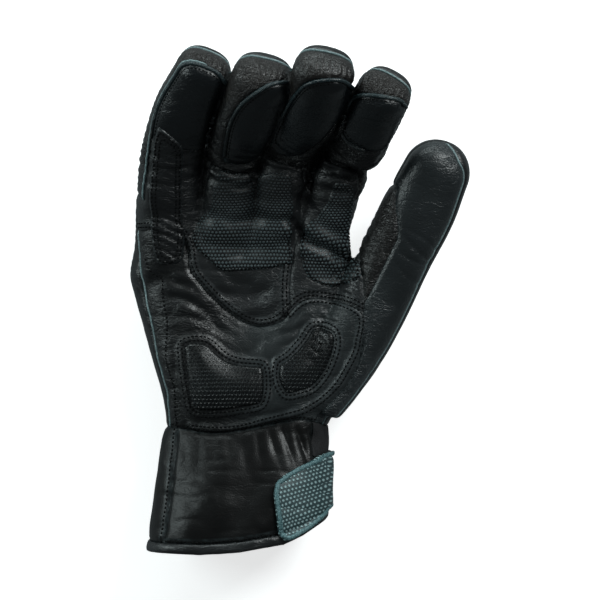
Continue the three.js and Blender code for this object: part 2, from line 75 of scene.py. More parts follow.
# y, left, right, top, bottom, hollow of the palm, squareness
HAND_ROWS = np.array([
    [1.03, -0.69, 0.17, 0.74, 0.36, 0.0, 2.9],
    [0.99, -0.71, 0.19, 0.82, 0.19, 0.0, 2.9],
    [0.88, -0.748, 0.223, 0.93, 0.0, 0.03, 2.9],
    [0.74, -0.779, 0.245, 0.97, -0.04, 0.08, 2.9],
    [0.62, -0.76, 0.235, 0.99, -0.04, 0.13, 2.9],
    [0.48, -0.721, 0.196, 1.0, -0.04, 0.16, 2.9],
    [0.32, -0.676, 0.167, 1.05, -0.04, 0.11, 2.9],
    [0.16, -0.632, 0.157, 1.05, -0.04, 0.05, 2.9],
    [0.03, -0.618, 0.137, 0.97, -0.03, 0.03, 2.7],
])
CUFF_ROWS = np.array([
    [-0.07, -0.632, 0.134, 0.96, 0.0, 0.0, 2.5],
    [-0.16, -0.64, 0.132, 1.0, 0.03, 0.0, 2.5],
    [-0.28, -0.65, 0.127, 1.07, 0.07, 0.0, 2.5],
    [-0.49, -0.662, 0.123, 1.16, 0.08, 0.0, 2.5],
    [-0.77, -0.686, 0.127, 1.24, 0.08, 0.0, 2.5],
    [-1.16, -0.716, 0.137, 1.32, 0.075, 0.0, 2.5],
])

# root x, y, z; length, width, depth; rows of side, reach, rise, wide, deep, roll
DIGITS = {
    "little": dict(
        root=(-0.61, 0.732, 0.553), length=104, width=26, depth=25,
        rows=[
            [0.0, 0.0, 0.0, 1.17, 1.04, 12],
            [0.008, 0.269, 0.062, 1.17, 1.04, 16],
            [0.032, 0.498, 0.154, 1.16, 1.04, 18],
            [0.088, 0.702, 0.279, 1.09, 1.01, 14],
            [0.17, 0.852, 0.413, 0.97, 0.96, 10],
        ],
    ),
    "ring": dict(
        root=(-0.358, 0.76, 0.553), length=102, width=26, depth=25,
        rows=[
            [0.0, 0.0, 0.0, 1.0, 1.04, 0],
            [0.025, 0.247, 0.069, 0.98, 1.04, 4],
            [0.049, 0.479, 0.176, 0.98, 1.02, 9],
            [0.122, 0.656, 0.343, 1.06, 1.0, 14],
            [0.19, 0.801, 0.51, 1.08, 0.96, 16],
        ],
    ),
    "middle": dict(
        root=(-0.123, 0.779, 0.553), length=110, width=26, depth=25,
        rows=[
            [0.0, 0.0, 0.0, 0.96, 1.04, 0],
            [0.025, 0.212, 0.073, 0.92, 1.04, 0],
            [0.067, 0.467, 0.195, 0.96, 1.02, 3],
            [0.166, 0.619, 0.39, 1.0, 1.0, 5],
            [0.206, 0.743, 0.565, 1.05, 0.96, 6],
        ],
    ),
    "index": dict(
        root=(0.093, 0.77, 0.553), length=100, width=26, depth=25,
        rows=[
            [0.0, 0.0, 0.0, 0.96, 1.04, 0],
            [0.034, 0.242, 0.08, 0.92, 1.04, 0],
            [0.127, 0.495, 0.21, 0.97, 1.02, -4],
            [0.219, 0.637, 0.4, 0.97, 1.0, -4],
            [0.27, 0.738, 0.55, 0.95, 0.96, -4],
        ],
    ),
    "thumb": dict(
        root=(0.075, 0.105, 0.526), length=122, width=33, depth=29,
        rows=[
            [0.0, 0.0, 0.0, 0.74, 1.03, 0],
            [0.109, 0.193, 0.025, 0.98, 1.1, 0],
            [0.21, 0.386, 0.057, 1.03, 1.03, 4],
            [0.303, 0.575, 0.098, 1.0, 0.93, 6],
            [0.388, 0.746, 0.137, 1.02, 0.9, 6],
            [0.452, 0.887, 0.171, 0.93, 0.85, 6],
        ],
    ),
}
FINGERS = ["little", "ring", "middle", "index"]
WEB_ROW = {"little": 1.3, "ring": 1.35, "middle": 1.4, "index": 1.4}
JOINT_ROW = {"little": 2.5, "ring": 2.0, "middle": 2.0, "index": 2.0}

# seam lines seen from above, in shares of the palm's width and the hand's length
WRIST_SEAM = [
    (-0.95, 0.02), (-0.61, 0.006), (-0.41, -0.021), (-0.27, -0.007), (-0.136, 0.02), (0, 0.04),
    (0.08, 0.025), (0.15, 0.005), (0.4, 0),
]
CRESCENT_SEAM = [
    (-0.9, 0.92), (-0.59, 0.92), (-0.52, 0.85), (-0.5, 0.739), (-0.432, 0.646), (-0.341, 0.554),
    (-0.25, 0.493), (-0.173, 0.475), (-0.091, 0.498), (-0.045, 0.544), (0, 0.591), (0.045, 0.609),
    (0.136, 0.6), (0.227, 0.577), (0.295, 0.54),
]
MIDDLE_SEAM = [(-0.045, 0.544), (-0.048, 0.68), (-0.03, 0.82), (0.01, 1.02), (0.03, 1.3)]
THUMB_SEAM = [
    (0.294, 1.05), (0.265, 0.9), (0.27, 0.78), (0.287, 0.65), (0.291, 0.46), (0.264, 0.3),
    (0.205, 0.19), (0.118, 0.1), (0.069, 0.02), (0.055, -0.05),
]
CUFF_SIDE_SEAM = [(-0.56, 0.04), (-0.58, -0.187), (-0.6, -0.349), (-0.63, -0.65)]
HEM = [
    (-2, -1), (-0.6, -1), (-0.45, -1.003), (-0.27, -0.982), (-0.072, -0.919), (0.014, -0.854),
    (0.131, -0.725), (2, -0.5),
]
HEEL_LINE = [
    (-0.045, 0.53), (-0.01, 0.572), (0.045, 0.6), (0.11, 0.6), (0.17, 0.588), (0.232, 0.564),
    (0.272, 0.535), (0.28, 0.49), (0.268, 0.43), (0.255, 0.365), (0.222, 0.297), (0.178, 0.218),
    (0.11, 0.145), (0.035, 0.095), (-0.045, 0.068), (-0.155, 0.04), (-0.25, 0.012), (-0.33, 0.0),
    (-0.43, 0.0), (-0.5, 0.01),
]

# outlines in mm, as an eye 1.1 m above the palm sees them at the height of the table
FINGER_PADS = {
    "ring": [
        (-0.5, 101.3), (-1.9, 104.2), (-7.2, 105.2), (-13.4, 104.2), (-18.3, 101.8),
        (-24.0, 98.0), (-29.3, 93.2), (-33.1, 86.5), (-35.1, 79.2), (-36.5, 72.0), (-36.5, 65.8),
        (-29.8, 64.4), (-22.1, 65.8), (-17.8, 71.1), (-14.9, 76.4), (-11.5, 82.6), (-7.7, 89.3),
        (-3.8, 96.1),
    ],
    "middle": [
        (27.9, 98.0), (25.0, 102.8), (20.7, 105.7), (14.4, 106.1), (7.2, 105.2), (1.4, 102.8),
        (-3.4, 97.5), (-7.2, 91.3), (-11.0, 84.5), (-13.9, 77.3), (-13.0, 71.1), (-6.7, 68.2),
        (1.0, 69.2), (7.7, 74.0), (13.0, 79.7), (18.3, 86.5), (23.5, 92.7),
    ],
    "index": [
        (51.4, 93.2), (48.0, 96.5), (40.8, 98.0), (33.6, 98.9), (26.4, 98.0), (22.6, 93.2),
        (20.7, 86.5), (21.6, 79.7), (26.4, 74.9), (33.6, 72.5), (40.3, 73.0), (45.1, 75.4),
        (48.5, 79.7), (51.9, 86.5),
    ],
}
GRIP_OUTER = [
    (-49.5, 37.5), (-51.9, 31.2), (-51.4, 27.4), (-48.0, 22.6), (-43.2, 18.3), (-37.5, 13.9),
    (-31.2, 13.4), (-19.2, 14.4), (-5.3, 16.8), (-3.8, 20.2), (-4.3, 28.8), (-3.4, 40.8),
    (-3.8, 52.8), (-4.3, 59.6), (-10.6, 61.0), (-17.3, 60.5), (-19.7, 56.7), (-21.1, 48.0),
    (-22.6, 56.7), (-24.5, 61.0), (-31.7, 62.0), (-39.9, 61.0), (-41.8, 53.8), (-42.3, 45.6),
]
GRIP_INDEX = [
    (1.4, 15.4), (3.8, 11.0), (8.6, 7.7), (14.4, 6.2), (21.6, 7.2), (27.4, 9.6), (29.8, 13.4),
    (28.8, 18.3), (24.0, 22.1), (23.1, 31.2), (24.5, 40.8), (25.5, 53.8), (21.1, 57.2),
    (16.3, 56.2), (13.4, 48.0), (8.2, 40.3), (1.4, 33.6), (0.0, 24.0),
]
SLIDER = [
    (-67.2, 84.0), (-61.5, 79.2), (-56.2, 73.0), (-56.7, 57.6), (-56.7, 40.8), (-55.7, 31.2),
    (-56.7, 19.2), (-62.4, 17.3), (-68.7, 18.3), (-71.1, 28.8), (-72.0, 48.0), (-71.6, 62.4),
    (-70.1, 74.4),
]
HEEL_OUTER = [
    (-55.7, -22.1), (-52.4, -20.7), (-46.6, -20.7), (-43.2, -22.6), (-38.9, -26.9),
    (-34.1, -29.8), (-28.8, -31.2), (-22.1, -31.7), (-18.3, -32.2), (-17.3, -36.0),
    (-17.3, -43.2), (-18.3, -48.0), (-20.2, -49.9), (-28.8, -51.4), (-39.4, -52.8),
    (-48.0, -52.8), (-51.4, -50.9), (-52.8, -44.2), (-54.3, -34.6),
]
HEEL_THUMB = [
    (-9.6, -30.7), (-5.3, -28.3), (-1.0, -24.0), (2.9, -19.2), (5.8, -14.4), (8.6, -13.4),
    (14.4, -14.9), (16.3, -17.3), (16.3, -22.1), (13.9, -29.8), (10.6, -36.0), (5.8, -41.3),
    (1.0, -43.2), (-5.3, -44.7), (-7.7, -43.2), (-10.1, -37.5),
]
STRAP_TAB = [
    (-0.122, -0.52), (-0.1, -0.41), (0.0, -0.3), (0.16, -0.175), (0.3, -0.175), (0.3, -0.61),
    (0.15, -0.61), (0.09, -0.73), (-0.03, -0.885), (-0.09, -0.86), (-0.11, -0.7),
]

# Folds of the palm side: points in shares of the palm's width and the hand's length, width and
# depth in mm. A negative depth is a ridge.
FOLDS = [
    ([(-0.62, 0.62), (-0.52, 0.6), (-0.42, 0.53), (-0.36, 0.46)], 1.8, 0.7),
    ([(-0.6, 0.52), (-0.49, 0.52), (-0.38, 0.47), (-0.3, 0.43)], 1.6, 0.6),
    ([(-0.62, 0.72), (-0.56, 0.68), (-0.49, 0.66)], 1.8, 0.7),
    ([(-0.4, 0.66), (-0.33, 0.63), (-0.22, 0.62), (-0.12, 0.65)], 2.6, 0.8),
    ([(-0.36, 0.74), (-0.3, 0.69), (-0.2, 0.67)], 2.2, 0.5),
    ([(-0.3, 0.55), (-0.2, 0.56), (-0.09, 0.6)], 2.4, -0.6),
    ([(-0.14, 0.44), (-0.04, 0.45), (0.05, 0.5)], 1.6, 0.6),
    ([(-0.1, 0.38), (-0.04, 0.4), (0.03, 0.46)], 1.4, 0.45),
    ([(-0.56, 0.36), (-0.57, 0.2), (-0.53, 0.06)], 2.2, 0.7),
    ([(-0.06, 0.98), (0.045, 0.876), (0.135, 0.83), (0.23, 0.775)], 2.4, 2.4),
    ([(0.1, 1.2), (0.2, 1.19), (0.28, 1.172)], 2.2, 1.6),
    ([(0.08, 1.12), (0.17, 1.1), (0.25, 1.09)], 2.0, 1.2),
    ([(-0.02, 1.1), (0.06, 1.01), (0.12, 0.94), (0.21, 0.89)], 2.6, 1.0),
    ([(-0.42, 1.0), (-0.3, 0.97), (-0.2, 0.99)], 2.6, 1.0),
    ([(-0.2, 0.99), (-0.1, 0.97), (0.0, 0.98)], 2.6, 1.2),
    ([(-0.45, 0.87), (-0.3, 0.84), (-0.12, 0.85), (0.0, 0.9)], 3.4, 0.9),
]


def catmull(rows, places):
    """Rows of numbers at places between the rows, on smooth curves through them."""
    rows = np.asarray(rows, float)
    padded = np.vstack([2 * rows[0] - rows[1], rows, 2 * rows[-1] - rows[-2]])
    places = np.asarray(places, float)
    i = np.clip(np.floor(places).astype(int), 0, len(rows) - 2)
    u = (places - i)[:, None]
    p0, p1, p2, p3 = padded[i], padded[i + 1], padded[i + 2], padded[i + 3]
    cubic = 2 * p0 - 5 * p1 + 4 * p2 - p3 + u * (3 * (p1 - p2) + p3 - p0)
    return p1 + 0.5 * u * (p2 - p0 + u * cubic)


def unit(v):
    return v / np.maximum(np.linalg.norm(v, axis=-1, keepdims=True), 1e-12)


def smoothstep(low, high, value):
    t = np.clip((value - low) / (high - low), 0, 1)
    return t * t * (3 - 2 * t)


def signed_power(value, power):
    return np.sign(value) * np.abs(value) ** power


def line_mm(line, y_unit=HAND_LENGTH, closed=False, steps=6):
    """A smooth line in mm through points given as shares."""
    points = np.array(line, float) * [PALM_WIDTH, y_unit]
    if closed:
        points = np.vstack([points, points[:1]])
    fine = catmull(points, np.linspace(0, len(points) - 1, (len(points) - 1) * steps + 1))
    return fine


def line_distance(line, points):
    """Distance of each point from a line seen from above, + on the left of its direction."""
    a, b = line[:-1], line[1:]
    ab = b - a
    best = np.full(len(points), 1e9)
    sign = np.ones(len(points))
    along = np.zeros(len(points))
    run = np.concatenate([[0], np.cumsum(np.linalg.norm(ab, axis=1))])
    for k in range(len(a)):
        rel = points - a[k]
        t = np.clip((rel @ ab[k]) / max(ab[k] @ ab[k], 1e-9), 0, 1)
        away = rel - t[:, None] * ab[k]
        distance = np.linalg.norm(away, axis=1)
        closer = distance < best
        best[closer] = distance[closer]
        cross = ab[k, 0] * rel[:, 1] - ab[k, 1] * rel[:, 0]
        sign[closer] = np.sign(cross[closer])
        along[closer] = run[k] + t[closer] * (run[k + 1] - run[k])
    return best * np.where(sign == 0, 1, sign), along


def inside_loop(loop, points):
    """Distance from a closed outline seen from above, + inside it."""
    distance, _ = line_distance(loop, points)
    x, y = points[:, 0], points[:, 1]
    inside = np.zeros(len(points), bool)
    for (x0, y0), (x1, y1) in zip(loop[:-1], loop[1:]):
        if y0 == y1:
            continue
        spans = (y0 > y) != (y1 > y)
        inside ^= spans & (x < (x1 - x0) * (y - y0) / (y1 - y0) + x0)
    return np.where(inside, np.abs(distance), -np.abs(distance))


def seen(points):
    """Points as an eye 1.1 m above the palm sees them at the height of the table, in mm."""
    return (points[:, :2] - [0, 60]) * (1100 / (1100 - points[:, 2]))[:, None]


def seen_value(points, outline):
    """Distance from an outline seen by that eye, + inside it."""
    loop = np.array(outline + outline[:1])
    return inside_loop(catmull(loop, np.linspace(0, len(loop) - 1, len(loop) * 3)), seen(points))


def lattice(ix, iy, iz, seed):
    """A fixed number between -1 and 1 for each corner of a grid."""
    n = ix * 374761393 + iy * 668265263 + iz * 2147483647 + seed * 1274126177
    n = (n ^ (n >> 13)) * 1103515245
    n = n & 0x7FFFFFFF
    return ((n ^ (n >> 16)) % 65536) / 32768.0 - 1.0


def noise(points, size, seed=0):
    """Smooth noise between -1 and 1 over points in mm, with lumps of a size in mm along each axis."""
    p = points / np.asarray(size, float)
    i = np.floor(p).astype(np.int64)
    f = p - i
    f = f * f * (3 - 2 * f)
    total = np.zeros(len(p))
    for dx in (0, 1):
        for dy in (0, 1):
            for dz in (0, 1):
                weight = (
                    (f[:, 0] if dx else 1 - f[:, 0])
                    * (f[:, 1] if dy else 1 - f[:, 1])
                    * (f[:, 2] if dz else 1 - f[:, 2])
                )
                total += weight * lattice(i[:, 0] + dx, i[:, 1] + dy, i[:, 2] + dz, seed)
    return total


# ---- the smooth form of the hand, the cuff and the digits


def hand_rings():
    rows = np.vstack([
        HAND_ROWS * [HAND_LENGTH, PALM_WIDTH, PALM_WIDTH, HAND_DEPTH, HAND_DEPTH, HAND_DEPTH, 1],
        CUFF_ROWS * [CUFF_LENGTH, PALM_WIDTH, PALM_WIDTH, HAND_DEPTH, HAND_DEPTH, HAND_DEPTH, 1],
    ])
    fine = catmull(rows, np.linspace(0, len(rows) - 1, 130))
    angle = np.linspace(0, 2 * np.pi, 160, endpoint=False)
    rings = []
    for y, left, right, top, bottom, hollow, square in fine:
        across = np.cos(angle)
        height = np.sign(np.sin(angle)) * (1 - np.abs(across) ** square) ** (1 / square)
        spread = across * (right - left) / (0.44 * PALM_WIDTH)
        dip = hollow * np.exp(-spread**2) * np.maximum(height, 0) ** 2
        rings.append(np.stack([
            (left + right + across * (right - left)) / 2,
            np.full_like(across, y),
            (top + bottom + height * (top - bottom)) / 2 - dip,
        ], axis=1))
    return np.array(rings)


def digit_frames(name):
    """Fine stations along a digit: places, arc length, middle, along, across, up, half width, half depth."""
    digit = DIGITS[name]
    rows = np.array(digit["rows"], float)
    root = np.array(digit["root"]) * [PALM_WIDTH, HAND_LENGTH, HAND_DEPTH]
    end = len(rows) - 1
    places = np.linspace(0, end, end * 40 + 1)

    def middle(at):
        return root + catmull(rows, at)[:, :3] * digit["length"]

    values = catmull(rows, places)
    centre = middle(places)
    along = unit(middle(places + 0.02) - middle(places - 0.02))
    across = unit(np.cross(along, [0, 0, 1]))
    up = np.cross(across, along)
    roll = np.radians(values[:, 5])[:, None]
    across, up = (
        across * np.cos(roll) + np.cross(along, across) * np.sin(roll),
        up * np.cos(roll) + np.cross(along, up) * np.sin(roll),
    )
    arc = np.concatenate([[0], np.cumsum(np.linalg.norm(np.diff(centre, axis=0), axis=1))])
    return dict(
        places=places, arc=arc, centre=centre, along=along, across=across, up=up,
        half_width=values[:, 3] * digit["width"] / 2, half_depth=values[:, 4] * digit["depth"] / 2,
        tip=TIP_ROUND[name], power=TIP_POWER[name],
    )


def digit_rings(fr):
    angle = np.linspace(0, 2 * np.pi, 72, endpoint=False)
    x = signed_power(np.cos(angle), 2 / DIGIT_SQUARENESS)
    z = signed_power(np.sin(angle), 2 / DIGIT_SQUARENESS)
    rings = []
    for k in range(0, len(fr["places"]), 2):
        rings.append((k, 0.0, 1.0))
    last = len(fr["places"]) - 1
    for share in (0.15, 0.3, 0.45, 0.6, 0.72, 0.82, 0.9, 0.96, 0.99):
        rings.append((last, share * fr["tip"], (1 - share ** fr["power"]) ** (1 / fr["power"])))
    return np.array([
        fr["centre"][k] + past * fr["along"][k]
        + np.outer(x * fr["half_width"][k] * scale, fr["across"][k])
        + np.outer(z * fr["half_depth"][k] * scale, fr["up"][k])
        for k, past, scale in rings
    ])


def loft_mesh(rings):
    """Vertices and faces of a closed skin through rings of points."""
    count, around = rings.shape[:2]
    verts = rings.reshape(-1, 3)
    i = np.arange(around)
    j = (i + 1) % around
    faces = []
    for r in range(count - 1):
        faces.extend(np.stack([r * around + i, r * around + j, (r + 1) * around + j, (r + 1) * around + i], 1).tolist())
    verts = np.vstack([verts, rings[0].mean(0), rings[-1].mean(0)])
    first, last = len(verts) - 2, len(verts) - 1
    faces.extend([[int(first), int(b), int(a)] for a, b in zip(i, j)])
    top = (count - 1) * around
    faces.extend([[int(last), int(top + a), int(top + b)] for a, b in zip(i, j)])
    return verts, faces


FRAMES = {name: digit_frames(name) for name in DIGITS}


def smooth_skin():
    """One closed skin round the hand, the cuff and the digits, in mm."""
    verts, faces = loft_mesh(hand_rings())
    for fr in FRAMES.values():
        more, more_faces = loft_mesh(digit_rings(fr))
        faces += [[k + len(verts) for k in face] for face in more_faces]
        verts = np.vstack([verts, more])
    mesh = bpy.data.meshes.new("skin")
    mesh.from_pydata(verts.tolist(), [], faces)
    body = bpy.data.objects.new("skin", mesh)
    bpy.context.scene.collection.objects.link(body)
    bpy.ops.object.select_all(action="DESELECT")
    body.select_set(True)
    bpy.context.view_layer.objects.active = body
    bpy.ops.object.mode_set(mode="EDIT")
    bpy.ops.mesh.select_all(action="SELECT")
    bpy.ops.mesh.normals_make_consistent(inside=False)
    bpy.ops.object.mode_set(mode="OBJECT")
    remesh = body.modifiers.new("remesh", "REMESH")
    remesh.mode = "VOXEL"
    remesh.voxel_size = 0.98
    bpy.ops.object.modifier_apply(modifier=remesh.name)
    mesh = body.data
    points = np.empty(len(mesh.vertices) * 3)
    mesh.vertices.foreach_get("co", points)
    mesh.calc_loop_triangles()
    triangles = np.empty(len(mesh.loop_triangles) * 3, np.int64)
    mesh.loop_triangles.foreach_get("vertices", triangles)
    bpy.data.objects.remove(body)
    return points.reshape(-1, 3), triangles.reshape(-1, 3)


def edge_list(triangles):
    edges = np.vstack([triangles[:, [0, 1]], triangles[:, [1, 2]], triangles[:, [2, 0]]])
    return np.unique(np.sort(edges, axis=1), axis=0)


def neighbour_mean(values, edges, count):
    total = np.zeros((len(values), values.shape[1]))
    for k in range(values.shape[1]):
        total[:, k] = np.bincount(edges[:, 0], values[edges[:, 1], k], len(values))
        total[:, k] += np.bincount(edges[:, 1], values[edges[:, 0], k], len(values))
    return total / count[:, None]


def relax(points, edges, rounds, weight):
    """Laplacian smoothing, with every second round pushing back so that the form keeps its size."""
    count = np.maximum(np.bincount(edges.ravel(), minlength=len(points)), 1)
    weight = np.broadcast_to(weight, (len(points),))[:, None]
    for k in range(rounds):
        step = neighbour_mean(points, edges, count) - points
        points = points + step * weight * (0.55 if k % 2 == 0 else -0.57)
    return points


def soften(points, edges, rounds, weight):
    count = np.maximum(np.bincount(edges.ravel(), minlength=len(points)), 1)
    weight = np.broadcast_to(weight, (len(points),))[:, None]
    for _ in range(rounds):
        points = points + (neighbour_mean(points, edges, count) - points) * weight * 0.6
    return points


def vertex_normals(points, triangles):
    a, b, c = points[triangles[:, 0]], points[triangles[:, 1]], points[triangles[:, 2]]
    face = np.cross(b - a, c - a)
    normals = np.zeros_like(points)
    for corner in range(3):
        for axis in range(3):
            normals[:, axis] += np.bincount(triangles[:, corner], face[:, axis], len(points))
    return unit(normals)


def digit_coordinates(points, fr):
    """For each point: arc length along the digit, distance across, height, and 1 on the digit's skin."""
    arc, centre = fr["arc"], fr["centre"]
    result = np.empty((len(points), 4))
    for start in range(0, len(points), 20000):
        p = points[start:start + 20000]
        gap = (p**2).sum(1)[:, None] - 2 * p @ centre.T + (centre**2).sum(1)[None]
        k = gap.argmin(1)
        rel = p - centre[k]
        past = np.einsum("ij,ij->i", rel, fr["along"][k])
        across = np.einsum("ij,ij->i", rel, fr["across"][k])
        height = np.einsum("ij,ij->i", rel, fr["up"][k])
        beyond = np.where(k == len(arc) - 1, np.maximum(past, 0), 0)
        share = np.minimum(beyond / fr["tip"], 0.999)
        scale = np.maximum(1 - share ** fr["power"], 0.03) ** (1 / fr["power"])
        before = np.where(k == 0, np.maximum(-past, 0), 0)
        square = DIGIT_SQUARENESS
        rho = (
            np.abs(across / fr["half_width"][k]) ** square
            + np.abs(height / fr["half_depth"][k]) ** square
        ) ** (1 / square) / scale + before / 10
        result[start:start + 20000] = np.stack([arc[k] + past, across, height, rho], 1)
    return result


# Columns of the skin's table of vertices: place, normal, then s, across, height, rho of each digit,
# then the place before the folds
PLACE = slice(0, 3)
NORMAL = slice(3, 6)
COLUMN = {name: 6 + 4 * k for k, name in enumerate(DIGITS)}
BASE = slice(26, 29)


def digit_column(table, name, which):
    return table[:, COLUMN[name] + "sahr".index(which)]


def arc_at(name, row):
    fr = FRAMES[name]
    return float(np.interp(row, fr["places"], fr["arc"]))


def compact(table, triangles):
    used, inverse = np.unique(triangles.ravel(), return_inverse=True)
    return table[used], inverse.reshape(-1, 3)


def part(skin, values):
    """Cuts a skin along the line where the values are 0. Returns the side below and the side above."""
    table, triangles = skin
    values = np.where(np.abs(values) < 0.06, 0.0, values)
    sign = np.sign(values).astype(int)
    edges = edge_list(triangles)
    crossing = edges[sign[edges[:, 0]] * sign[edges[:, 1]] < 0]
    a, b = crossing[:, 0], crossing[:, 1]
    share = (values[a] / (values[a] - values[b]))[:, None]
    count = len(table)
    table = np.vstack([table, table[a] * (1 - share) + table[b] * share])
    keys = a.astype(np.int64) * count + b

    def cut_point(p, q):
        low, high = np.minimum(p, q), np.maximum(p, q)
        return count + np.searchsorted(keys, low.astype(np.int64) * count + high)

    s = sign[triangles]
    kept = {-1: [], 1: []}
    whole = ~((s.min(1) < 0) & (s.max(1) > 0))
    total = s.sum(1)
    kept[-1].append(triangles[whole & (total < 0)])
    kept[1].append(triangles[whole & (total >= 0)])
    for turn in range(3):
        order = [turn, (turn + 1) % 3, (turn + 2) % 3]
        t, st = triangles[:, order], s[:, order]
        lone = ~whole & (st[:, 0] * st[:, 1] < 0) & (st[:, 0] * st[:, 2] < 0)
        for side in (-1, 1):
            v = t[lone & (st[:, 0] == side)]
            if len(v):
                p, q = cut_point(v[:, 0], v[:, 1]), cut_point(v[:, 0], v[:, 2])
                kept[side].append(np.stack([v[:, 0], p, q], 1))
                kept[-side].append(np.stack([p, v[:, 1], v[:, 2]], 1))
                kept[-side].append(np.stack([p, v[:, 2], q], 1))
        flat = ~whole & (st[:, 0] == 0)
        for side in (-1, 1):
            v = t[flat & (st[:, 1] == side)]
            if len(v):
                m = cut_point(v[:, 1], v[:, 2])
                kept[side].append(np.stack([v[:, 0], v[:, 1], m], 1))
                kept[-side].append(np.stack([v[:, 0], m, v[:, 2]], 1))
    return compact(table, np.vstack(kept[-1])), compact(table, np.vstack(kept[1]))


def border_of(triangles):
    """The open edges of a skin, each in its triangle's direction."""
    edges = np.vstack([triangles[:, [0, 1]], triangles[:, [1, 2]], triangles[:, [2, 0]]])
    key = np.sort(edges, axis=1)
    _, first, count = np.unique(key, axis=0, return_index=True, return_counts=True)
    return edges[first[count == 1]]


def nearest_distance(points, targets):
    result = np.full(len(points), 1e9)
    for start in range(0, len(points), 4000):
        p = points[start:start + 4000]
        gap = (p**2).sum(1)[:, None] - 2 * p @ targets.T + (targets**2).sum(1)[None]
        result[start:start + 4000] = np.sqrt(np.maximum(gap.min(1), 0))
    return result


def largest_part(skin):
    """Drops the slivers that a cut leaves apart from the panel's large parts."""
    table, triangles = skin
    label = np.arange(len(table))
    edges = edge_list(triangles)
    while True:
        low = np.minimum(label[edges[:, 0]], label[edges[:, 1]])
        before = label.copy()
        np.minimum.at(label, edges[:, 0], low)
        np.minimum.at(label, edges[:, 1], low)
        label = label[label]
        if (label == before).all():
            break
    names, counts = np.unique(label[triangles[:, 0]], return_counts=True)
    keep = np.isin(label[triangles[:, 0]], names[counts > 0.08 * counts.max()])
    return compact(table, triangles[keep])


def trace(skin, values, level):
    """Lines on a skin where the values pass a level, as lists of (places, normals)."""
    table, triangles = skin
    f = values - level
    f = np.where(f == 0, 1e-7, f)
    s = f[triangles] > 0
    mixed = triangles[s.any(1) & ~s.all(1)]
    links = {}
    for t in mixed.tolist():
        ends = []
        for p, q in ((t[0], t[1]), (t[1], t[2]), (t[2], t[0])):
            if (f[p] > 0) != (f[q] > 0):
                ends.append((p, q) if p < q else (q, p))
        links.setdefault(ends[0], []).append(ends[1])
        links.setdefault(ends[1], []).append(ends[0])
    lines = []
    seen = set()
    starts = [e for e, others in links.items() if len(others) == 1] + list(links)
    for start in starts:
        if start in seen:
            continue
        chain = [start]
        seen.add(start)
        while True:
            following = [e for e in links[chain[-1]] if e not in seen]
            if not following:
                break
            chain.append(following[0])
            seen.add(following[0])
        if len(links[start]) == 2 and chain[-1] in links[start] and len(chain) > 3:
            chain.append(start)
        if len(chain) < 4:
            continue
        pairs = np.array(chain)
        a, b = pairs[:, 0], pairs[:, 1]
        w = (f[a] / (f[a] - f[b]))[:, None]
        rows = table[a] * (1 - w) + table[b] * w
        lines.append((rows[:, PLACE], unit(rows[:, NORMAL]), rows))
    return lines


def evenly(places, normals, pitch, smooth=3):
    """A line's points spaced evenly, smoothed a little."""
    closed = np.linalg.norm(places[0] - places[-1]) < 0.5
    for _ in range(smooth):
        inner = (places[:-2] + 2 * places[1:-1] + places[2:]) / 4
        places = np.vstack([places[:1], inner, places[-1:]])
    run = np.concatenate([[0], np.cumsum(np.linalg.norm(np.diff(places, axis=0), axis=1))])
    count = max(int(round(run[-1] / pitch)), 2)
    at = np.linspace(0, run[-1], count + 1)
    even = np.stack([np.interp(at, run, places[:, k]) for k in range(3)], 1)
    turned = unit(np.stack([np.interp(at, run, normals[:, k]) for k in range(3)], 1))
    return even, turned, closed


# ---- shader node groups and materials


def group(name, inputs, outputs):
    tree = bpy.data.node_groups.new(name, "ShaderNodeTree")
    for label, kind, value in inputs:
        socket = tree.interface.new_socket(label, in_out="INPUT", socket_type=kind)
        if value is not None:
            socket.default_value = value
    for label, kind in outputs:
        tree.interface.new_socket(label, in_out="OUTPUT", socket_type=kind)
    return tree, tree.nodes.new("NodeGroupInput"), tree.nodes.new("NodeGroupOutput")


def node(tree, kind, **values):
    made = tree.nodes.new(kind)
    for key, value in values.items():
        if hasattr(made, key):
            setattr(made, key, value)
        else:
            made.inputs[key].default_value = value
    return made


def math_node(tree, operation, a, b=None, clamp=False):
    made = node(tree, "ShaderNodeMath", operation=operation, use_clamp=clamp)
    for k, value in enumerate((a, b)):
        if value is None:
            continue
        if isinstance(value, (int, float)):
            made.inputs[k].default_value = value
        else:
            tree.links.new(value, made.inputs[k])
    return made.outputs[0]


def ramp(tree, value, low, high, out_low=0.0, out_high=1.0):
    made = node(tree, "ShaderNodeMapRange", clamp=True)
    made.interpolation_type = "SMOOTHSTEP"
    tree.links.new(value, made.inputs["Value"])
    made.inputs["From Min"].default_value = low
    made.inputs["From Max"].default_value = high
    made.inputs["To Min"].default_value = out_low
    made.inputs["To Max"].default_value = out_high
    return made.outputs[0]


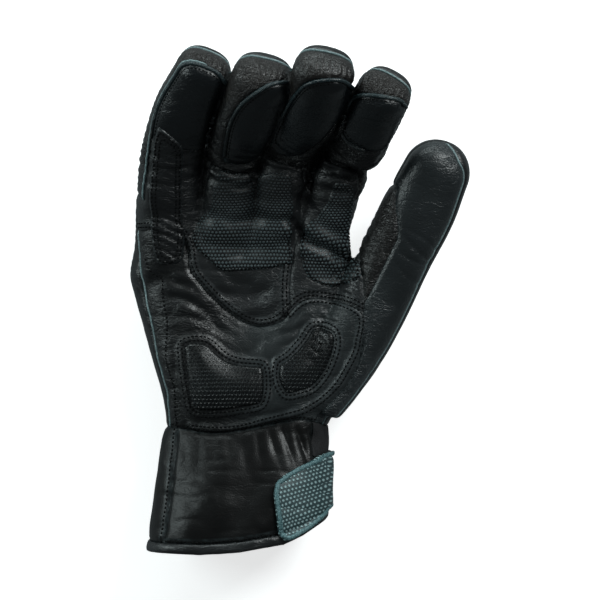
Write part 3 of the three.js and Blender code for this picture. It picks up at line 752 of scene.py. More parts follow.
def leather_grain():
    """Pebbled cells with creases between them, and the finer wrinkles that cross them."""
    tree, start, end = group(
        "leather_grain",
        [("Vector", "NodeSocketVector", None), ("Cells", "NodeSocketFloat", 900.0),
         ("Wrinkles", "NodeSocketFloat", 220.0), ("Wrinkling", "NodeSocketFloat", 0.6)],
        [("Height", "NodeSocketFloat"), ("Crease", "NodeSocketFloat"), ("Patches", "NodeSocketFloat")],
    )
    link = tree.links.new
    warp = node(tree, "ShaderNodeTexNoise", Scale=300.0, Detail=2.0)
    link(start.outputs["Vector"], warp.inputs["Vector"])
    shift = node(tree, "ShaderNodeVectorMath", operation="SCALE", Scale=0.0012)
    link(warp.outputs["Color"], shift.inputs[0])
    moved = node(tree, "ShaderNodeVectorMath", operation="ADD")
    link(start.outputs["Vector"], moved.inputs[0])
    link(shift.outputs[0], moved.inputs[1])
    cells = node(tree, "ShaderNodeTexVoronoi", feature="DISTANCE_TO_EDGE")
    link(moved.outputs[0], cells.inputs["Vector"])
    link(start.outputs["Cells"], cells.inputs["Scale"])
    pebble = ramp(tree, cells.outputs["Distance"], 0.0, 0.4)
    drawn = node(tree, "ShaderNodeVectorMath", operation="MULTIPLY")
    link(moved.outputs[0], drawn.inputs[0])
    drawn.inputs[1].default_value = (0.5, 1.15, 0.8)
    crease = None
    for times, reach, share in ((1.0, 0.07, 1.0), (2.3, 0.09, 0.55)):
        folds = node(tree, "ShaderNodeTexNoise", Detail=2.0, Roughness=0.5, Distortion=0.8)
        link(drawn.outputs[0], folds.inputs["Vector"])
        link(math_node(tree, "MULTIPLY", start.outputs["Wrinkles"], times), folds.inputs["Scale"])
        away = math_node(tree, "ABSOLUTE", math_node(tree, "SUBTRACT", folds.outputs["Fac"], 0.5))
        line = ramp(tree, away, 0.0, reach, share, 0.0)
        crease = line if crease is None else math_node(tree, "ADD", crease, line)
    broad = node(tree, "ShaderNodeTexNoise", Scale=28.0, Detail=3.0)
    link(start.outputs["Vector"], broad.inputs["Vector"])
    crease = math_node(tree, "MULTIPLY", crease, ramp(tree, broad.outputs["Fac"], 0.4, 0.62, 0.2, 1.0))
    lowered = math_node(tree, "MULTIPLY", crease, start.outputs["Wrinkling"])
    height = math_node(tree, "SUBTRACT", math_node(tree, "MULTIPLY", pebble, 0.06), lowered)
    link(height, end.inputs["Height"])
    link(lowered, end.inputs["Crease"])
    link(broad.outputs["Fac"], end.inputs["Patches"])
    return tree


def edge_wear_and_highlight():
    """1 along the sewn edges, broken up where hands have polished them; the same value also lights painted highlight
    lines beside the rows of stitches.
    """
    tree, start, end = group(
        "edge_wear_and_highlight",
        [("Distance", "NodeSocketFloat", 0.0), ("Vector", "NodeSocketVector", None),
         ("Reach", "NodeSocketFloat", 1.4)],
        [("WearAndHighlight", "NodeSocketFloat")],
    )
    near = math_node(tree, "DIVIDE", start.outputs["Distance"], start.outputs["Reach"])
    falling = ramp(tree, near, 0.0, 1.0, 1.0, 0.0)
    broken = node(tree, "ShaderNodeTexNoise", Scale=420.0, Detail=3.0)
    tree.links.new(start.outputs["Vector"], broken.inputs["Vector"])
    patchy = ramp(tree, broken.outputs["Fac"], 0.35, 0.7, 0.25, 1.0)
    tree.links.new(math_node(tree, "MULTIPLY", falling, patchy), end.inputs["WearAndHighlight"])
    return tree


def dot_grid():
    """Round dots in staggered rows over a cloth's own coordinates, in mm."""
    tree, start, end = group(
        "dot_grid",
        [("Vector", "NodeSocketVector", None), ("Pitch", "NodeSocketFloat", 1.8),
         ("Radius", "NodeSocketFloat", 0.33)],
        [("Dot", "NodeSocketFloat"), ("Rim", "NodeSocketFloat")],
    )
    link = tree.links.new
    split = node(tree, "ShaderNodeSeparateXYZ")
    link(start.outputs["Vector"], split.inputs[0])
    u = math_node(tree, "DIVIDE", split.outputs[0], start.outputs["Pitch"])
    v = math_node(tree, "DIVIDE", split.outputs[1], start.outputs["Pitch"])
    row = math_node(tree, "FLOOR", v)
    odd = math_node(tree, "MULTIPLY", math_node(tree, "MODULO", math_node(tree, "ABSOLUTE", row), 2.0), 0.5)
    u = math_node(tree, "ADD", u, odd)
    du = math_node(tree, "SUBTRACT", math_node(tree, "FRACT", u), 0.5)
    dv = math_node(tree, "SUBTRACT", math_node(tree, "FRACT", v), 0.5)
    square = math_node(tree, "ADD", math_node(tree, "MULTIPLY", du, du), math_node(tree, "MULTIPLY", dv, dv))
    radius = math_node(tree, "SQRT", square)
    away = math_node(tree, "SUBTRACT", radius, start.outputs["Radius"])
    link(ramp(tree, away, -0.1, 0.06, 1.0, 0.0), end.inputs["Dot"])
    ring = math_node(tree, "ABSOLUTE", away)
    link(ramp(tree, ring, 0.0, 0.12, 1.0, 0.0), end.inputs["Rim"])
    return tree


GRAIN = leather_grain()
WEAR_AND_HIGHLIGHT = edge_wear_and_highlight()
DOTS = dot_grid()


def new_material(name):
    material = bpy.data.materials.new(name)
    material.use_nodes = True
    shader = material.node_tree.nodes["Principled BSDF"]
    return material, material.node_tree, shader


def blend_colours(tree, factor, low, high):
    made = node(tree, "ShaderNodeMix", data_type="RGBA")
    tree.links.new(factor, made.inputs[0])
    for socket, value in ((made.inputs[6], low), (made.inputs[7], high)):
        if isinstance(value, tuple):
            socket.default_value = (*value, 1)
        else:
            tree.links.new(value, socket)
    return made.outputs[2]


def leather_material(name, dark, light, rough, cells=900.0, wrinkles=200.0, wrinkling=0.6,
                     bump=0.35, worn_and_lit=(0.06, 0.08, 0.085), reach=1.3, gloss=0.5):
    material, tree, shader = new_material(name)
    link = tree.links.new
    place = node(tree, "ShaderNodeTexCoord")
    grain = node(tree, "ShaderNodeGroup", node_tree=GRAIN)
    link(place.outputs["Object"], grain.inputs["Vector"])
    grain.inputs["Cells"].default_value = cells
    grain.inputs["Wrinkles"].default_value = wrinkles
    grain.inputs["Wrinkling"].default_value = wrinkling
    seam = node(tree, "ShaderNodeAttribute", attribute_name="edge")
    wear_and_highlight = node(tree, "ShaderNodeGroup", node_tree=WEAR_AND_HIGHLIGHT)
    link(seam.outputs["Fac"], wear_and_highlight.inputs["Distance"])
    link(place.outputs["Object"], wear_and_highlight.inputs["Vector"])
    wear_and_highlight.inputs["Reach"].default_value = reach
    colour = blend_colours(tree, ramp(tree, grain.outputs["Patches"], 0.3, 0.7), dark, light)
    # Wear and painted highlight: lighter worn colour along the sewn edges, and painted highlight lines beside the
    # stitches.
    colour = blend_colours(tree, math_node(tree, "MULTIPLY", wear_and_highlight.outputs["WearAndHighlight"], 0.4), colour, worn_and_lit)
    # Painted shade: a per-vertex value darkens the leather towards near black where shade falls.
    painted_shade_input = node(tree, "ShaderNodeAttribute", attribute_name="painted_shade")
    colour = blend_colours(tree, painted_shade_input.outputs["Fac"], colour, (0.0014, 0.0018, 0.0021))
    link(colour, shader.inputs["Base Color"])
    roughness = math_node(
        tree, "ADD", ramp(tree, grain.outputs["Patches"], 0.25, 0.75, rough - 0.05, rough + 0.06),
        math_node(tree, "MULTIPLY", grain.outputs["Crease"], 0.12),
    )
    link(roughness, shader.inputs["Roughness"])
    raised = node(tree, "ShaderNodeBump", Strength=bump, Distance=0.0011)
    link(grain.outputs["Height"], raised.inputs["Height"])
    link(raised.outputs["Normal"], shader.inputs["Normal"])
    shader.inputs["Specular IOR Level"].default_value = gloss
    return material


def dotted_material(name, cloth, dots, rough, pitch, radius, height, rim=(0.1, 0.12, 0.125), sunk=False):
    material, tree, shader = new_material(name)
    link = tree.links.new
    own = node(tree, "ShaderNodeAttribute", attribute_name="cloth")
    place = node(tree, "ShaderNodeTexCoord")
    grid = node(tree, "ShaderNodeGroup", node_tree=DOTS)
    link(own.outputs["Vector"], grid.inputs["Vector"])
    grid.inputs["Pitch"].default_value = pitch
    grid.inputs["Radius"].default_value = radius
    fibres = node(tree, "ShaderNodeTexNoise", Scale=2600.0, Detail=3.0)
    link(place.outputs["Object"], fibres.inputs["Vector"])
    patches = node(tree, "ShaderNodeTexNoise", Scale=45.0, Detail=2.0)
    link(place.outputs["Object"], patches.inputs["Vector"])
    colour = blend_colours(tree, grid.outputs["Dot"], cloth, dots)
    # Painted glints: a ring round each dot is lightened towards the rim colour, broken up in patches.
    lit = math_node(tree, "MULTIPLY", grid.outputs["Rim"], ramp(tree, patches.outputs["Fac"], 0.35, 0.65, 0.3, 1.0))
    colour = blend_colours(tree, math_node(tree, "MULTIPLY", lit, 0.6), colour, rim)
    # Painted shade: the same per-vertex value darkens the cloth towards near black.
    painted_shade_input = node(tree, "ShaderNodeAttribute", attribute_name="painted_shade")
    colour = blend_colours(tree, painted_shade_input.outputs["Fac"], colour, (0.001, 0.0014, 0.0017))
    link(colour, shader.inputs["Base Color"])
    link(ramp(tree, fibres.outputs["Fac"], 0.3, 0.7, rough - 0.08, rough + 0.08), shader.inputs["Roughness"])
    relief = math_node(tree, "MULTIPLY", grid.outputs["Dot"], -height if sunk else height)
    relief = math_node(tree, "ADD", relief, math_node(tree, "MULTIPLY", fibres.outputs["Fac"], 0.15))
    raised = node(tree, "ShaderNodeBump", Strength=0.9, Distance=0.0006)
    link(relief, raised.inputs["Height"])
    link(raised.outputs["Normal"], shader.inputs["Normal"])
    return material


def thread_material(name, dark, light, rough, gloss=0.5):
    material, tree, shader = new_material(name)
    link = tree.links.new
    place = node(tree, "ShaderNodeTexCoord")
    twist = node(tree, "ShaderNodeTexNoise", Scale=1800.0, Detail=2.0)
    link(place.outputs["Object"], twist.inputs["Vector"])
    link(blend_colours(tree, ramp(tree, twist.outputs["Fac"], 0.35, 0.65), dark, light), shader.inputs["Base Color"])
    shader.inputs["Roughness"].default_value = rough
    shader.inputs["Specular IOR Level"].default_value = gloss
    raised = node(tree, "ShaderNodeBump", Strength=0.5, Distance=0.0002)
    link(twist.outputs["Fac"], raised.inputs["Height"])
    link(raised.outputs["Normal"], shader.inputs["Normal"])
    return material


# The worn colours give both the wear along sewn edges and the painted highlight lines beside the stitches.
BLACK_LEATHER = leather_material(
    "black_leather", (0.0095, 0.0104, 0.0111), (0.0185, 0.0205, 0.0218), 0.37, wrinkling=0.34, bump=0.6, worn_and_lit=(0.07, 0.082, 0.085))
HEEL_LEATHER = leather_material(
    "heel_leather", (0.014, 0.017, 0.018), (0.025, 0.0302, 0.0315), 0.37, wrinkling=0.26, bump=0.55, worn_and_lit=(0.085, 0.1, 0.105))
SLIDER_LEATHER = leather_material(
    "gathered_leather", (0.0035, 0.0042, 0.0048), (0.0072, 0.0082, 0.009), 0.33, bump=0.5, wrinkling=0.3)
SMOOTH_LEATHER = leather_material(
    "smooth_black_leather", (0.0013, 0.0025, 0.0034), (0.0032, 0.0052, 0.0066), 0.31, wrinkling=0.16, bump=0.5,
    worn_and_lit=(0.03, 0.045, 0.05))
CUFF_LEATHER = leather_material(
    "cuff_leather", (0.003, 0.003, 0.003), (0.0056, 0.0057, 0.0057), 0.35, wrinkling=0.12, bump=0.35, gloss=0.28)
THUMB_LEATHER = leather_material(
    "thumb_leather", (0.0125, 0.0155, 0.0168), (0.0255, 0.031, 0.0335), 0.35, wrinkling=0.36, bump=0.7)
GUSSET_LEATHER = leather_material(
    "gusset_leather", (0.0055, 0.0052, 0.005), (0.0135, 0.0126, 0.012), 0.38, wrinkles=260.0, wrinkling=0.6,
    bump=0.9, worn_and_lit=(0.04, 0.046, 0.048))
BACK_LEATHER = leather_material(
    "back_leather", (0.0032, 0.0038, 0.0043), (0.0068, 0.0077, 0.0085), 0.34, wrinkling=0.22, bump=0.4)
WARM_LEATHER = leather_material(
    "warm_strip_leather", (0.0085, 0.0072, 0.0066), (0.0205, 0.0178, 0.0165), 0.34, wrinkles=340.0, wrinkling=0.5,
    bump=0.85, worn_and_lit=(0.05, 0.06, 0.062))
# The rim colours below are painted glints round the dots and holes.
PAD_LEATHER = dotted_material(
    "perforated_leather", (0.0018, 0.0024, 0.0028), (0.0004, 0.0005, 0.0006), 0.31, 1.75, 0.32, 4.2, sunk=True,
    rim=(0.07, 0.09, 0.094))
GRIP_CLOTH = dotted_material(
    "dotted_grip_cloth", (0.001, 0.0015, 0.0018), (0.082, 0.112, 0.12), 0.42, 1.6, 0.3, 2.2,
    rim=(0.22, 0.28, 0.295))
STRAP_RUBBER = dotted_material(
    "dotted_strap_rubber", (0.024, 0.052, 0.058), (0.3, 0.45, 0.46), 0.45, 1.75, 0.3, 1.3,
    rim=(0.33, 0.44, 0.45))
STRAP_EDGE = thread_material("strap_border", (0.03, 0.085, 0.095), (0.13, 0.24, 0.255), 0.55)
THREAD = thread_material("black_thread", (0.0006, 0.0008, 0.001), (0.0018, 0.0024, 0.0028), 0.75, 0.15)
PIPING = thread_material("pale_piping", (0.11, 0.17, 0.175), (0.25, 0.33, 0.34), 0.35)
# Painted highlight: the welts' light teal colour stands in for the highlights along the raised seam lips.
WELT = leather_material(
    "seam_welt_leather", (0.007, 0.015, 0.018), (0.028, 0.046, 0.05), 0.3, wrinkles=500.0, bump=0.6, wrinkling=0.3)
ELASTIC = thread_material("black_elastic", (0.003, 0.003, 0.0035), (0.012, 0.012, 0.014), 0.8)


# ---- the skin with its folds


def build_skin():
    points, triangles = smooth_skin()
    edges = edge_list(triangles)
    points = soften(points, edges, 2, 1.0)
    coordinates = {name: digit_coordinates(points, FRAMES[name]) for name in DIGITS}
    rho = np.stack([c[:, 3] for c in coordinates.values()], 1)
    ordered = np.sort(rho, axis=1)
    crotch = np.exp(-((ordered[:, 1] - ordered[:, 0]) / 0.25) ** 2) * (ordered[:, 0] < 1.5)
    root = np.zeros(len(points))
    for name in DIGITS:
        c = coordinates[name]
        root = np.maximum(root, np.exp(-((c[:, 0] - arc_at(name, 0.7)) / 16) ** 2) * (c[:, 3] < 1.5))
    blend = np.clip(np.maximum(crotch * 0.6, root), 0, 1) * smoothstep(1, 6, points[:, 2])
    points = soften(points, edges, 26, blend)
    return points, triangles, edges


def digit_folds(c, name):
    """Bunching of the leather across one finger's joints, and the puckers of its strip."""
    s, across, height, rho = c.T
    on = smoothstep(1.25, 1.1, rho)
    rise = np.zeros(len(s))
    joint = arc_at(name, 2.0)
    tip = arc_at(name, len(DIGITS[name]["rows"]) - 1)
    palm_pad = smoothstep(3, 9, height)
    deep = 0.45 if name == "little" else 1.0
    for at, width, depth in ((joint + 1, 2.4, 1.8 * deep), (joint - 6, 2.2, 0.9 * deep), (joint + 8, 2.6, 0.5)):
        bow = at + 1.6 * np.cos(across / 5 + at) + 0.8 * np.sin(across / 2.1 + at)
        rise -= depth * np.exp(-((s - bow) / width) ** 2) * palm_pad
    crinkle = np.sin((s + 2.2 * noise(c[:, :3], (7, 9, 9), 31)) * 2 * np.pi / 4.4)
    rise += 0.3 * deep * crinkle * np.exp(-((s - joint - 2) / 12) ** 2) * palm_pad
    middle = (joint + tip) / 2 + 2
    rise += (2.2 if name == "index" else 1.1) * np.exp(-((s - middle) / 11) ** 2) * palm_pad
    rise += 0.8 * np.exp(-((s - joint + 14) / 7) ** 2) * palm_pad
    bend = np.exp(-((s - joint) / 9) ** 2)
    ruck = np.sin(s * 2 * np.pi / 3.4 + 1.3 * np.sin(across * 0.5) + 2 * np.sin(s * 0.31))
    side = np.exp(-((np.abs(height) - 3) / 5) ** 2)
    rise += 0.42 * ruck * side * (0.25 + bend)
    if name == "index":
        outer = smoothstep(0, 8, across)
        rise += (1.5 * np.exp(-(((s - joint - 11) / 6) ** 2)) - 2.8 * np.exp(-(((s - joint + 1) / 5) ** 2))) * outer
    near_tip = smoothstep(tip - 8, tip + 4, s)
    pucker = np.sin(across * 2 * np.pi / 2.7 + 0.9 * np.sin(height))
    rise += 0.4 * pucker * near_tip * np.exp(-((height - 3.5) / 2.6) ** 2)
    return rise * on


def line_folds(points, normals):
    """Single creases and ridges, and the ridges between the rows of stitches."""
    up = smoothstep(0.05, 0.6, normals[:, 2])
    flat = points[:, :2]
    rise = np.zeros(len(points))
    for line, width, depth in FOLDS:
        distance, along = line_distance(line_mm(line), flat)
        full = np.linalg.norm(np.diff(line_mm(line), axis=0), axis=1).sum()
        ends = smoothstep(0, 5, along) * smoothstep(0, 5, full - along)
        gap = np.abs(distance)
        shape = -depth * np.exp(-((gap / width) ** 2)) + 0.4 * depth * np.exp(-(((gap - 1.9 * width) / width) ** 2))
        rise += shape * (0.25 + 0.75 * ends)
    for outline in (HEEL_OUTER, HEEL_THUMB):
        value = seen_value(points, outline)
        rise *= smoothstep(-1, -6, value)
        rise += 0.4 * np.exp(-(((value + 2.1) / 1.1) ** 2)) - 0.3 * np.exp(-(((value + 5) / 1.6) ** 2))
    crescent = line_distance(line_mm(CRESCENT_SEAM), flat)[0]
    middle = line_distance(line_mm(MIDDLE_SEAM), flat)[0]
    heel = line_distance(line_mm(HEEL_LINE), flat)[0]
    rise += 0.5 * np.exp(-(((crescent - 2.2) / 1.1) ** 2)) * (points[:, 0] < -2)
    rise += 0.45 * np.exp(-(((middle - 2.2) / 1.1) ** 2)) * smoothstep(84, 76, points[:, 1])
    rise += 0.55 * np.exp(-((heel / 1.2) ** 2)) - 0.35 * np.exp(-(((np.abs(heel) - 2.9) / 1.3) ** 2))
    return rise * up


def palm_folds(points, normals):
    """Hollows and rucks of the palm, the wrist and the cuff, along the normal."""
    up = smoothstep(0.05, 0.6, normals[:, 2])
    x, y, z = points.T
    rise = np.zeros(len(points))
    # gathers over the wrist elastic
    cuff_top = up * np.exp(-(((y + 7) / 10) ** 2)) * smoothstep(4, -2, y)
    wander = 2.2 * noise(points, (11, 26, 60), 5)
    phase = (x + 0.42 * (y + 6) * smoothstep(-40, 8, x) + wander) * 2 * np.pi / 6.6
    strength = (0.2 + 0.75 * smoothstep(-25, 8, x)) * (0.75 + 0.5 * noise(points, (9, 30, 60), 12))
    rise += strength * (np.abs(np.sin(phase / 2)) * 1.6 - 0.8) * cuff_top
    # long soft folds down the cuff
    lower = up * smoothstep(-6, -16, y)
    sweep = np.sin((x * 0.8 - y * 0.55) * 2 * np.pi / 27 + 1.2 * noise(points, (30, 30, 60), 6))
    rise += 0.55 * sweep * lower
    rise += 0.5 * noise(points, (13, 17, 17), 7) * up
    rise += 0.16 * noise(points, (4.2, 5.0, 5.0), 8)
    rise -= 0.34 * np.exp(-((noise(points, (13, 5.5, 12), 40) / 0.3) ** 2)) * up
    rise += 0.3 * noise(points, (9, 9, 9), 9)
    return rise


def thumb_folds(c):
    s, across, height, rho = c.T
    on = smoothstep(1.3, 1.1, rho) * smoothstep(10, 26, s)
    rise = np.zeros(len(s))
    front = smoothstep(2, 8, height)
    for at, depth in ((86, 0.5), (90.5, 0.55), (95, 0.4), (78, 0.3)):
        bow = at + 1.5 * np.sin(across / 6 + at) - 0.18 * across
        rise -= depth * np.exp(-((s - bow) / 0.9) ** 2) * front * smoothstep(-8, 4, across)
    inner = smoothstep(-8, -13, across)
    ruck = np.sin(s * 2 * np.pi / 4.6 + 1.4 * np.sin(height * 0.35) + 1.5 * np.sin(s * 0.2))
    rise += 0.35 * ruck * inner * smoothstep(100, 80, s)
    return rise * on


points, triangles, skin_edges = build_skin()
normals = vertex_normals(points, triangles)
base = points.copy()
digit_values = {name: digit_coordinates(base, FRAMES[name]) for name in DIGITS}
palm_weight = np.ones(len(points))
for name in DIGITS:
    c = digit_values[name]
    palm_weight *= 1 - smoothstep(arc_at(name, 1.1), arc_at(name, 1.6), c[:, 0]) * (c[:, 3] < 1.3) * 0.8
rise = palm_folds(base, normals) * palm_weight
for outline in (HEEL_OUTER, HEEL_THUMB):
    rise *= 0.2 + 0.8 * smoothstep(0, -7, seen_value(base, outline))
rise += line_folds(base, normals)
for name in FINGERS:
    rise += digit_folds(digit_values[name], name)
rise += thumb_folds(digit_values["thumb"])
rise *= smoothstep(0.2, 4.0, base[:, 2])
points = base + normals * rise[:, None]
points[:, 2] = np.where(points[:, 2] < 1.2, 0.25 + np.maximum(points[:, 2], -1) * 0.35 + 0.35, points[:, 2])
points[:, 2] = np.maximum(points[:, 2], 0.25)
normals = vertex_normals(points, triangles)
skin = (
    np.hstack([points, normals] + [digit_values[name] for name in DIGITS] + [base]),
    triangles,
)


# ---- the panels, cut along the seam lines


def seam_value(table, line, y_unit=HAND_LENGTH):
    return line_distance(line_mm(line, y_unit), table[:, BASE][:, :2])[0]


panels = {}
rest = skin
for name in FINGERS:
    web, joint = arc_at(name, WEB_ROW[name]), arc_at(name, JOINT_ROW[name])

    def own(table, start, name=name):
        s, rho = digit_column(table, name, "s"), digit_column(table, name, "r")
        others = np.min([digit_column(table, other, "r") for other in DIGITS if other != name], axis=0)
        return np.minimum(np.minimum(s - start, (1.3 - rho) * 12), (others - rho) * 6)

    if name in FINGER_PADS:
        value = seen_value(rest[0][:, BASE], FINGER_PADS[name])
        value = np.minimum(value, digit_column(rest[0], name, "h") - 1)
        rest, front = part(rest, np.minimum(own(rest[0], web), value))
        panels["finger_front_" + name] = largest_part(front)
    h, s = digit_column(rest[0], name, "h"), digit_column(rest[0], name, "s")
    beyond = s - joint if name in FINGER_PADS else STRIP - h
    rest, strip = part(rest, np.minimum(own(rest[0], web), np.maximum(STRIP - h, beyond)))
    back, wall = part(strip, digit_column(strip[0], name, "h") + STRIP_BACK)
    panels["finger_wall_" + name] = largest_part(wall)
    panels["finger_back_" + name] = largest_part(back)
    if name not in FINGER_PADS:
        h = digit_column(rest[0], name, "h")
        rest, front = part(rest, np.minimum(own(rest[0], joint), h - STRIP))
        panels["finger_front_" + name] = largest_part(front)

wrist = line_mm(WRIST_SEAM)
rest, cuff = part(rest, np.interp(rest[0][:, 26], wrist[:, 0], wrist[:, 1]) - rest[0][:, 27])
hem = line_mm(HEM, CUFF_LENGTH, steps=1)
beyond, cuff = part(cuff, cuff[0][:, 27] - np.interp(cuff[0][:, 26], hem[:, 0], hem[:, 1]))
hem_strip, cuff = part(cuff, cuff[0][:, 27] - np.interp(cuff[0][:, 26], hem[:, 0], hem[:, 1]) - BINDING_WIDTH)
panels["hem_binding"] = largest_part(hem_strip)
bx, by, bz = cuff[0][:, BASE].T
cuff, elastic = part(cuff, np.minimum(np.minimum(bx - 6.1, by + 13), bz - 13))
panels["wrist_elastic"] = largest_part(elastic)
bx, by, bz = cuff[0][:, BASE].T
back, front = part(cuff, bz - np.where(bx < -30, 13, 22))
panels["cuff_back"] = largest_part(back)
side_line = line_mm(CUFF_SIDE_SEAM)[::-1]
bx, by, bz = front[0][:, BASE].T
front, side = part(front, np.interp(by, side_line[:, 1], side_line[:, 0]) - bx)
panels["cuff_front"] = largest_part(front)
panels["cuff_side"] = largest_part(side)

thumb_line = np.vstack([line_mm(THUMB_SEAM)[::-1], [[39, 112], [40, 170]]])
bx, by, bz = rest[0][:, BASE].T
rest, thumb = part(rest, bx - np.interp(by, thumb_line[:, 1], thumb_line[:, 0]))
s, across, height, _ = thumb[0][:, COLUMN["thumb"]:COLUMN["thumb"] + 4].T
limit = -4.5 - 10 * smoothstep(arc_at("thumb", 3.3), arc_at("thumb", 4.3), s)
inner = np.minimum(np.minimum(s - arc_at("thumb", 0.8), arc_at("thumb", 4.3) - s), limit - across)
inner = np.minimum(inner, height + 9)
thumb, gusset = part(thumb, inner)
panels["thumb_gusset"] = largest_part(gusset)
s, across, height, _ = thumb[0][:, COLUMN["thumb"]:COLUMN["thumb"] + 4].T
thumb_split = 1 + 7 * smoothstep(-4, 8, across)
back, front = part(thumb, height - thumb_split)
panels["thumb_front"] = largest_part(front)
panels["thumb_back"] = largest_part(back)

bx, by, bz = rest[0][:, BASE].T
side_height = 26 + 4 * smoothstep(-40, -60, bx) * smoothstep(0, 20, by)
back, palm = part(rest, bz - side_height)
panels["back_panel"] = largest_part(back)
palm_whole = palm
raw = dict(panels)
heel, upper = part(palm, seam_value(palm[0], CRESCENT_SEAM))
panels["palm_heel"] = largest_part(heel)
inner, outer = part(upper, seam_value(upper[0], MIDDLE_SEAM))
panels["palm_outer"] = largest_part(outer)
panels["palm_inner"] = largest_part(inner)


# ---- meshes


def new_object(name, verts, faces, material, attributes=None, smooth=True):
    mesh = bpy.data.meshes.new(name)
    mesh.vertices.add(len(verts))
    mesh.vertices.foreach_set("co", ((verts + WRIST) * MM).astype(np.float32).ravel())
    faces = np.asarray(faces, np.int32)
    mesh.loops.add(faces.size)
    mesh.loops.foreach_set("vertex_index", faces.ravel())
    mesh.polygons.add(len(faces))
    mesh.polygons.foreach_set("loop_start", np.arange(0, faces.size, faces.shape[1], dtype=np.int32))
    mesh.update(calc_edges=True)
    mesh.validate()
    if smooth:
        mesh.polygons.foreach_set("use_smooth", np.ones(len(mesh.polygons), bool))
    for key, value in (attributes or {}).items():
        if value.ndim == 1:
            layer = mesh.attributes.new(key, "FLOAT", "POINT")
            layer.data.foreach_set("value", value.astype(np.float32))
        else:
            layer = mesh.attributes.new(key, "FLOAT_VECTOR", "POINT")
            layer.data.foreach_set("vector", value.astype(np.float32).ravel())
    mesh.materials.append(material)
    made = bpy.data.objects.new(name, mesh)
    bpy.context.scene.collection.objects.link(made)
    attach(made, "root")
    return made


def closed_shell(outer, triangles, inner):
    """A wall between an outer skin and the same skin moved inwards."""
    count = len(outer)
    edges = border_of(triangles)
    a, b = edges[:, 0], edges[:, 1]
    rim = np.vstack([np.stack([b, a, a + count], 1), np.stack([b, a + count, b + count], 1)])
    return np.vstack([outer, inner]), np.vstack([triangles, triangles[:, ::-1] + count, rim])


def panel_table(skin, groove=0.9, bulge=0.45, width=1.1):
    """A panel's outer places, rolled in along its edges, with normals and distance from the edge."""
    table, triangles = skin
    border = np.unique(border_of(triangles))
    s, rho = digit_column(table[border], "little", "s"), digit_column(table[border], "little", "r")
    border = border[(np.abs(s - arc_at("little", JOINT_ROW["little"])) > 0.4) | (rho > 1.35)]
    distance = nearest_distance(table[:, PLACE], table[border][:, PLACE])
    lift = bulge * (1 - np.exp(-((distance / 5) ** 2))) - groove * np.exp(-((distance / width) ** 2))
    lift *= smoothstep(0.2, 3.0, table[:, BASE][:, 2])
    return table[:, PLACE] + table[:, NORMAL] * lift[:, None], table[:, NORMAL], distance


def root_painted_shade(table):
    """Painted shade: darker towards the roots of the three longer fingers, where the curled fingers shade them."""
    return 0.72 * smoothstep(98, 110, table[:, 27]) * smoothstep(-54, -46, table[:, 26])


def painted_shade_of(name, table):
    """Painted shade of a panel: on the strips away from the fingertips, down in the crevices between the fingers, and
    along the hand's outer side, away from the key light; on the palm also at the finger roots.
    """
    finger = name.split("_")[-1]
    if name.startswith("finger_wall"):
        tip = arc_at(finger, len(DIGITS[finger]["rows"]) - 1)
        return 0.85 * smoothstep(tip - 4, tip - 15, digit_column(table, finger, "s"))
    if name == "palm_heel":
        return 0.95 * smoothstep(-14, -40, table[:, 26])
    if name in ("palm_outer", "palm_inner"):
        return np.maximum(root_painted_shade(table), 0.5 * smoothstep(-44, -58, table[:, 26]))
    return np.zeros(len(table))


def panel(name, material, thickness=LEATHER, groove=0.9, bulge=0.45, width=1.1, attributes=None):
    skin = panels[name]
    outer, normals, distance = panel_table(skin, groove, bulge, width)
    inner = outer - normals * thickness
    verts, faces = closed_shell(outer, skin[1], inner)
    # The panel's painted shade, stored per vertex.
    painted_shade = painted_shade_of(name, skin[0])
    made = new_object(name + "_leather", verts, faces, material, {
        "edge": np.concatenate([distance, distance]), "painted_shade": np.concatenate([painted_shade, painted_shade])})
    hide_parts(name)
    shaped = skin[0].copy()
    shaped[:, PLACE] = outer
    panels[name] = (shaped, skin[1])
    return made


LEATHERS = {
    "palm_outer": (BLACK_LEATHER, "leather"),
    "palm_inner": (BLACK_LEATHER, "leather"),
    "palm_heel": (HEEL_LEATHER, "leather"),
    "back_panel": (BACK_LEATHER, "leather"),
    "thumb_front": (THUMB_LEATHER, "leather"),
    "thumb_back": (BACK_LEATHER, "leather"),
    "thumb_gusset": (GUSSET_LEATHER, "strip"),
    "cuff_front": (CUFF_LEATHER, "leather"),
    "cuff_side": (CUFF_LEATHER, "leather"),
    "cuff_back": (BACK_LEATHER, "leather"),
}
for finger in FINGERS:
    LEATHERS["finger_front_" + finger] = (SMOOTH_LEATHER, "leather")
    LEATHERS["finger_wall_" + finger] = (WARM_LEATHER, "strip")
    LEATHERS["finger_back_" + finger] = (BACK_LEATHER, "leather")
for panel_name, (leather, slot) in LEATHERS.items():
    panel(panel_name, leather)
panel("wrist_elastic", ELASTIC, groove=0.3, bulge=0.0)


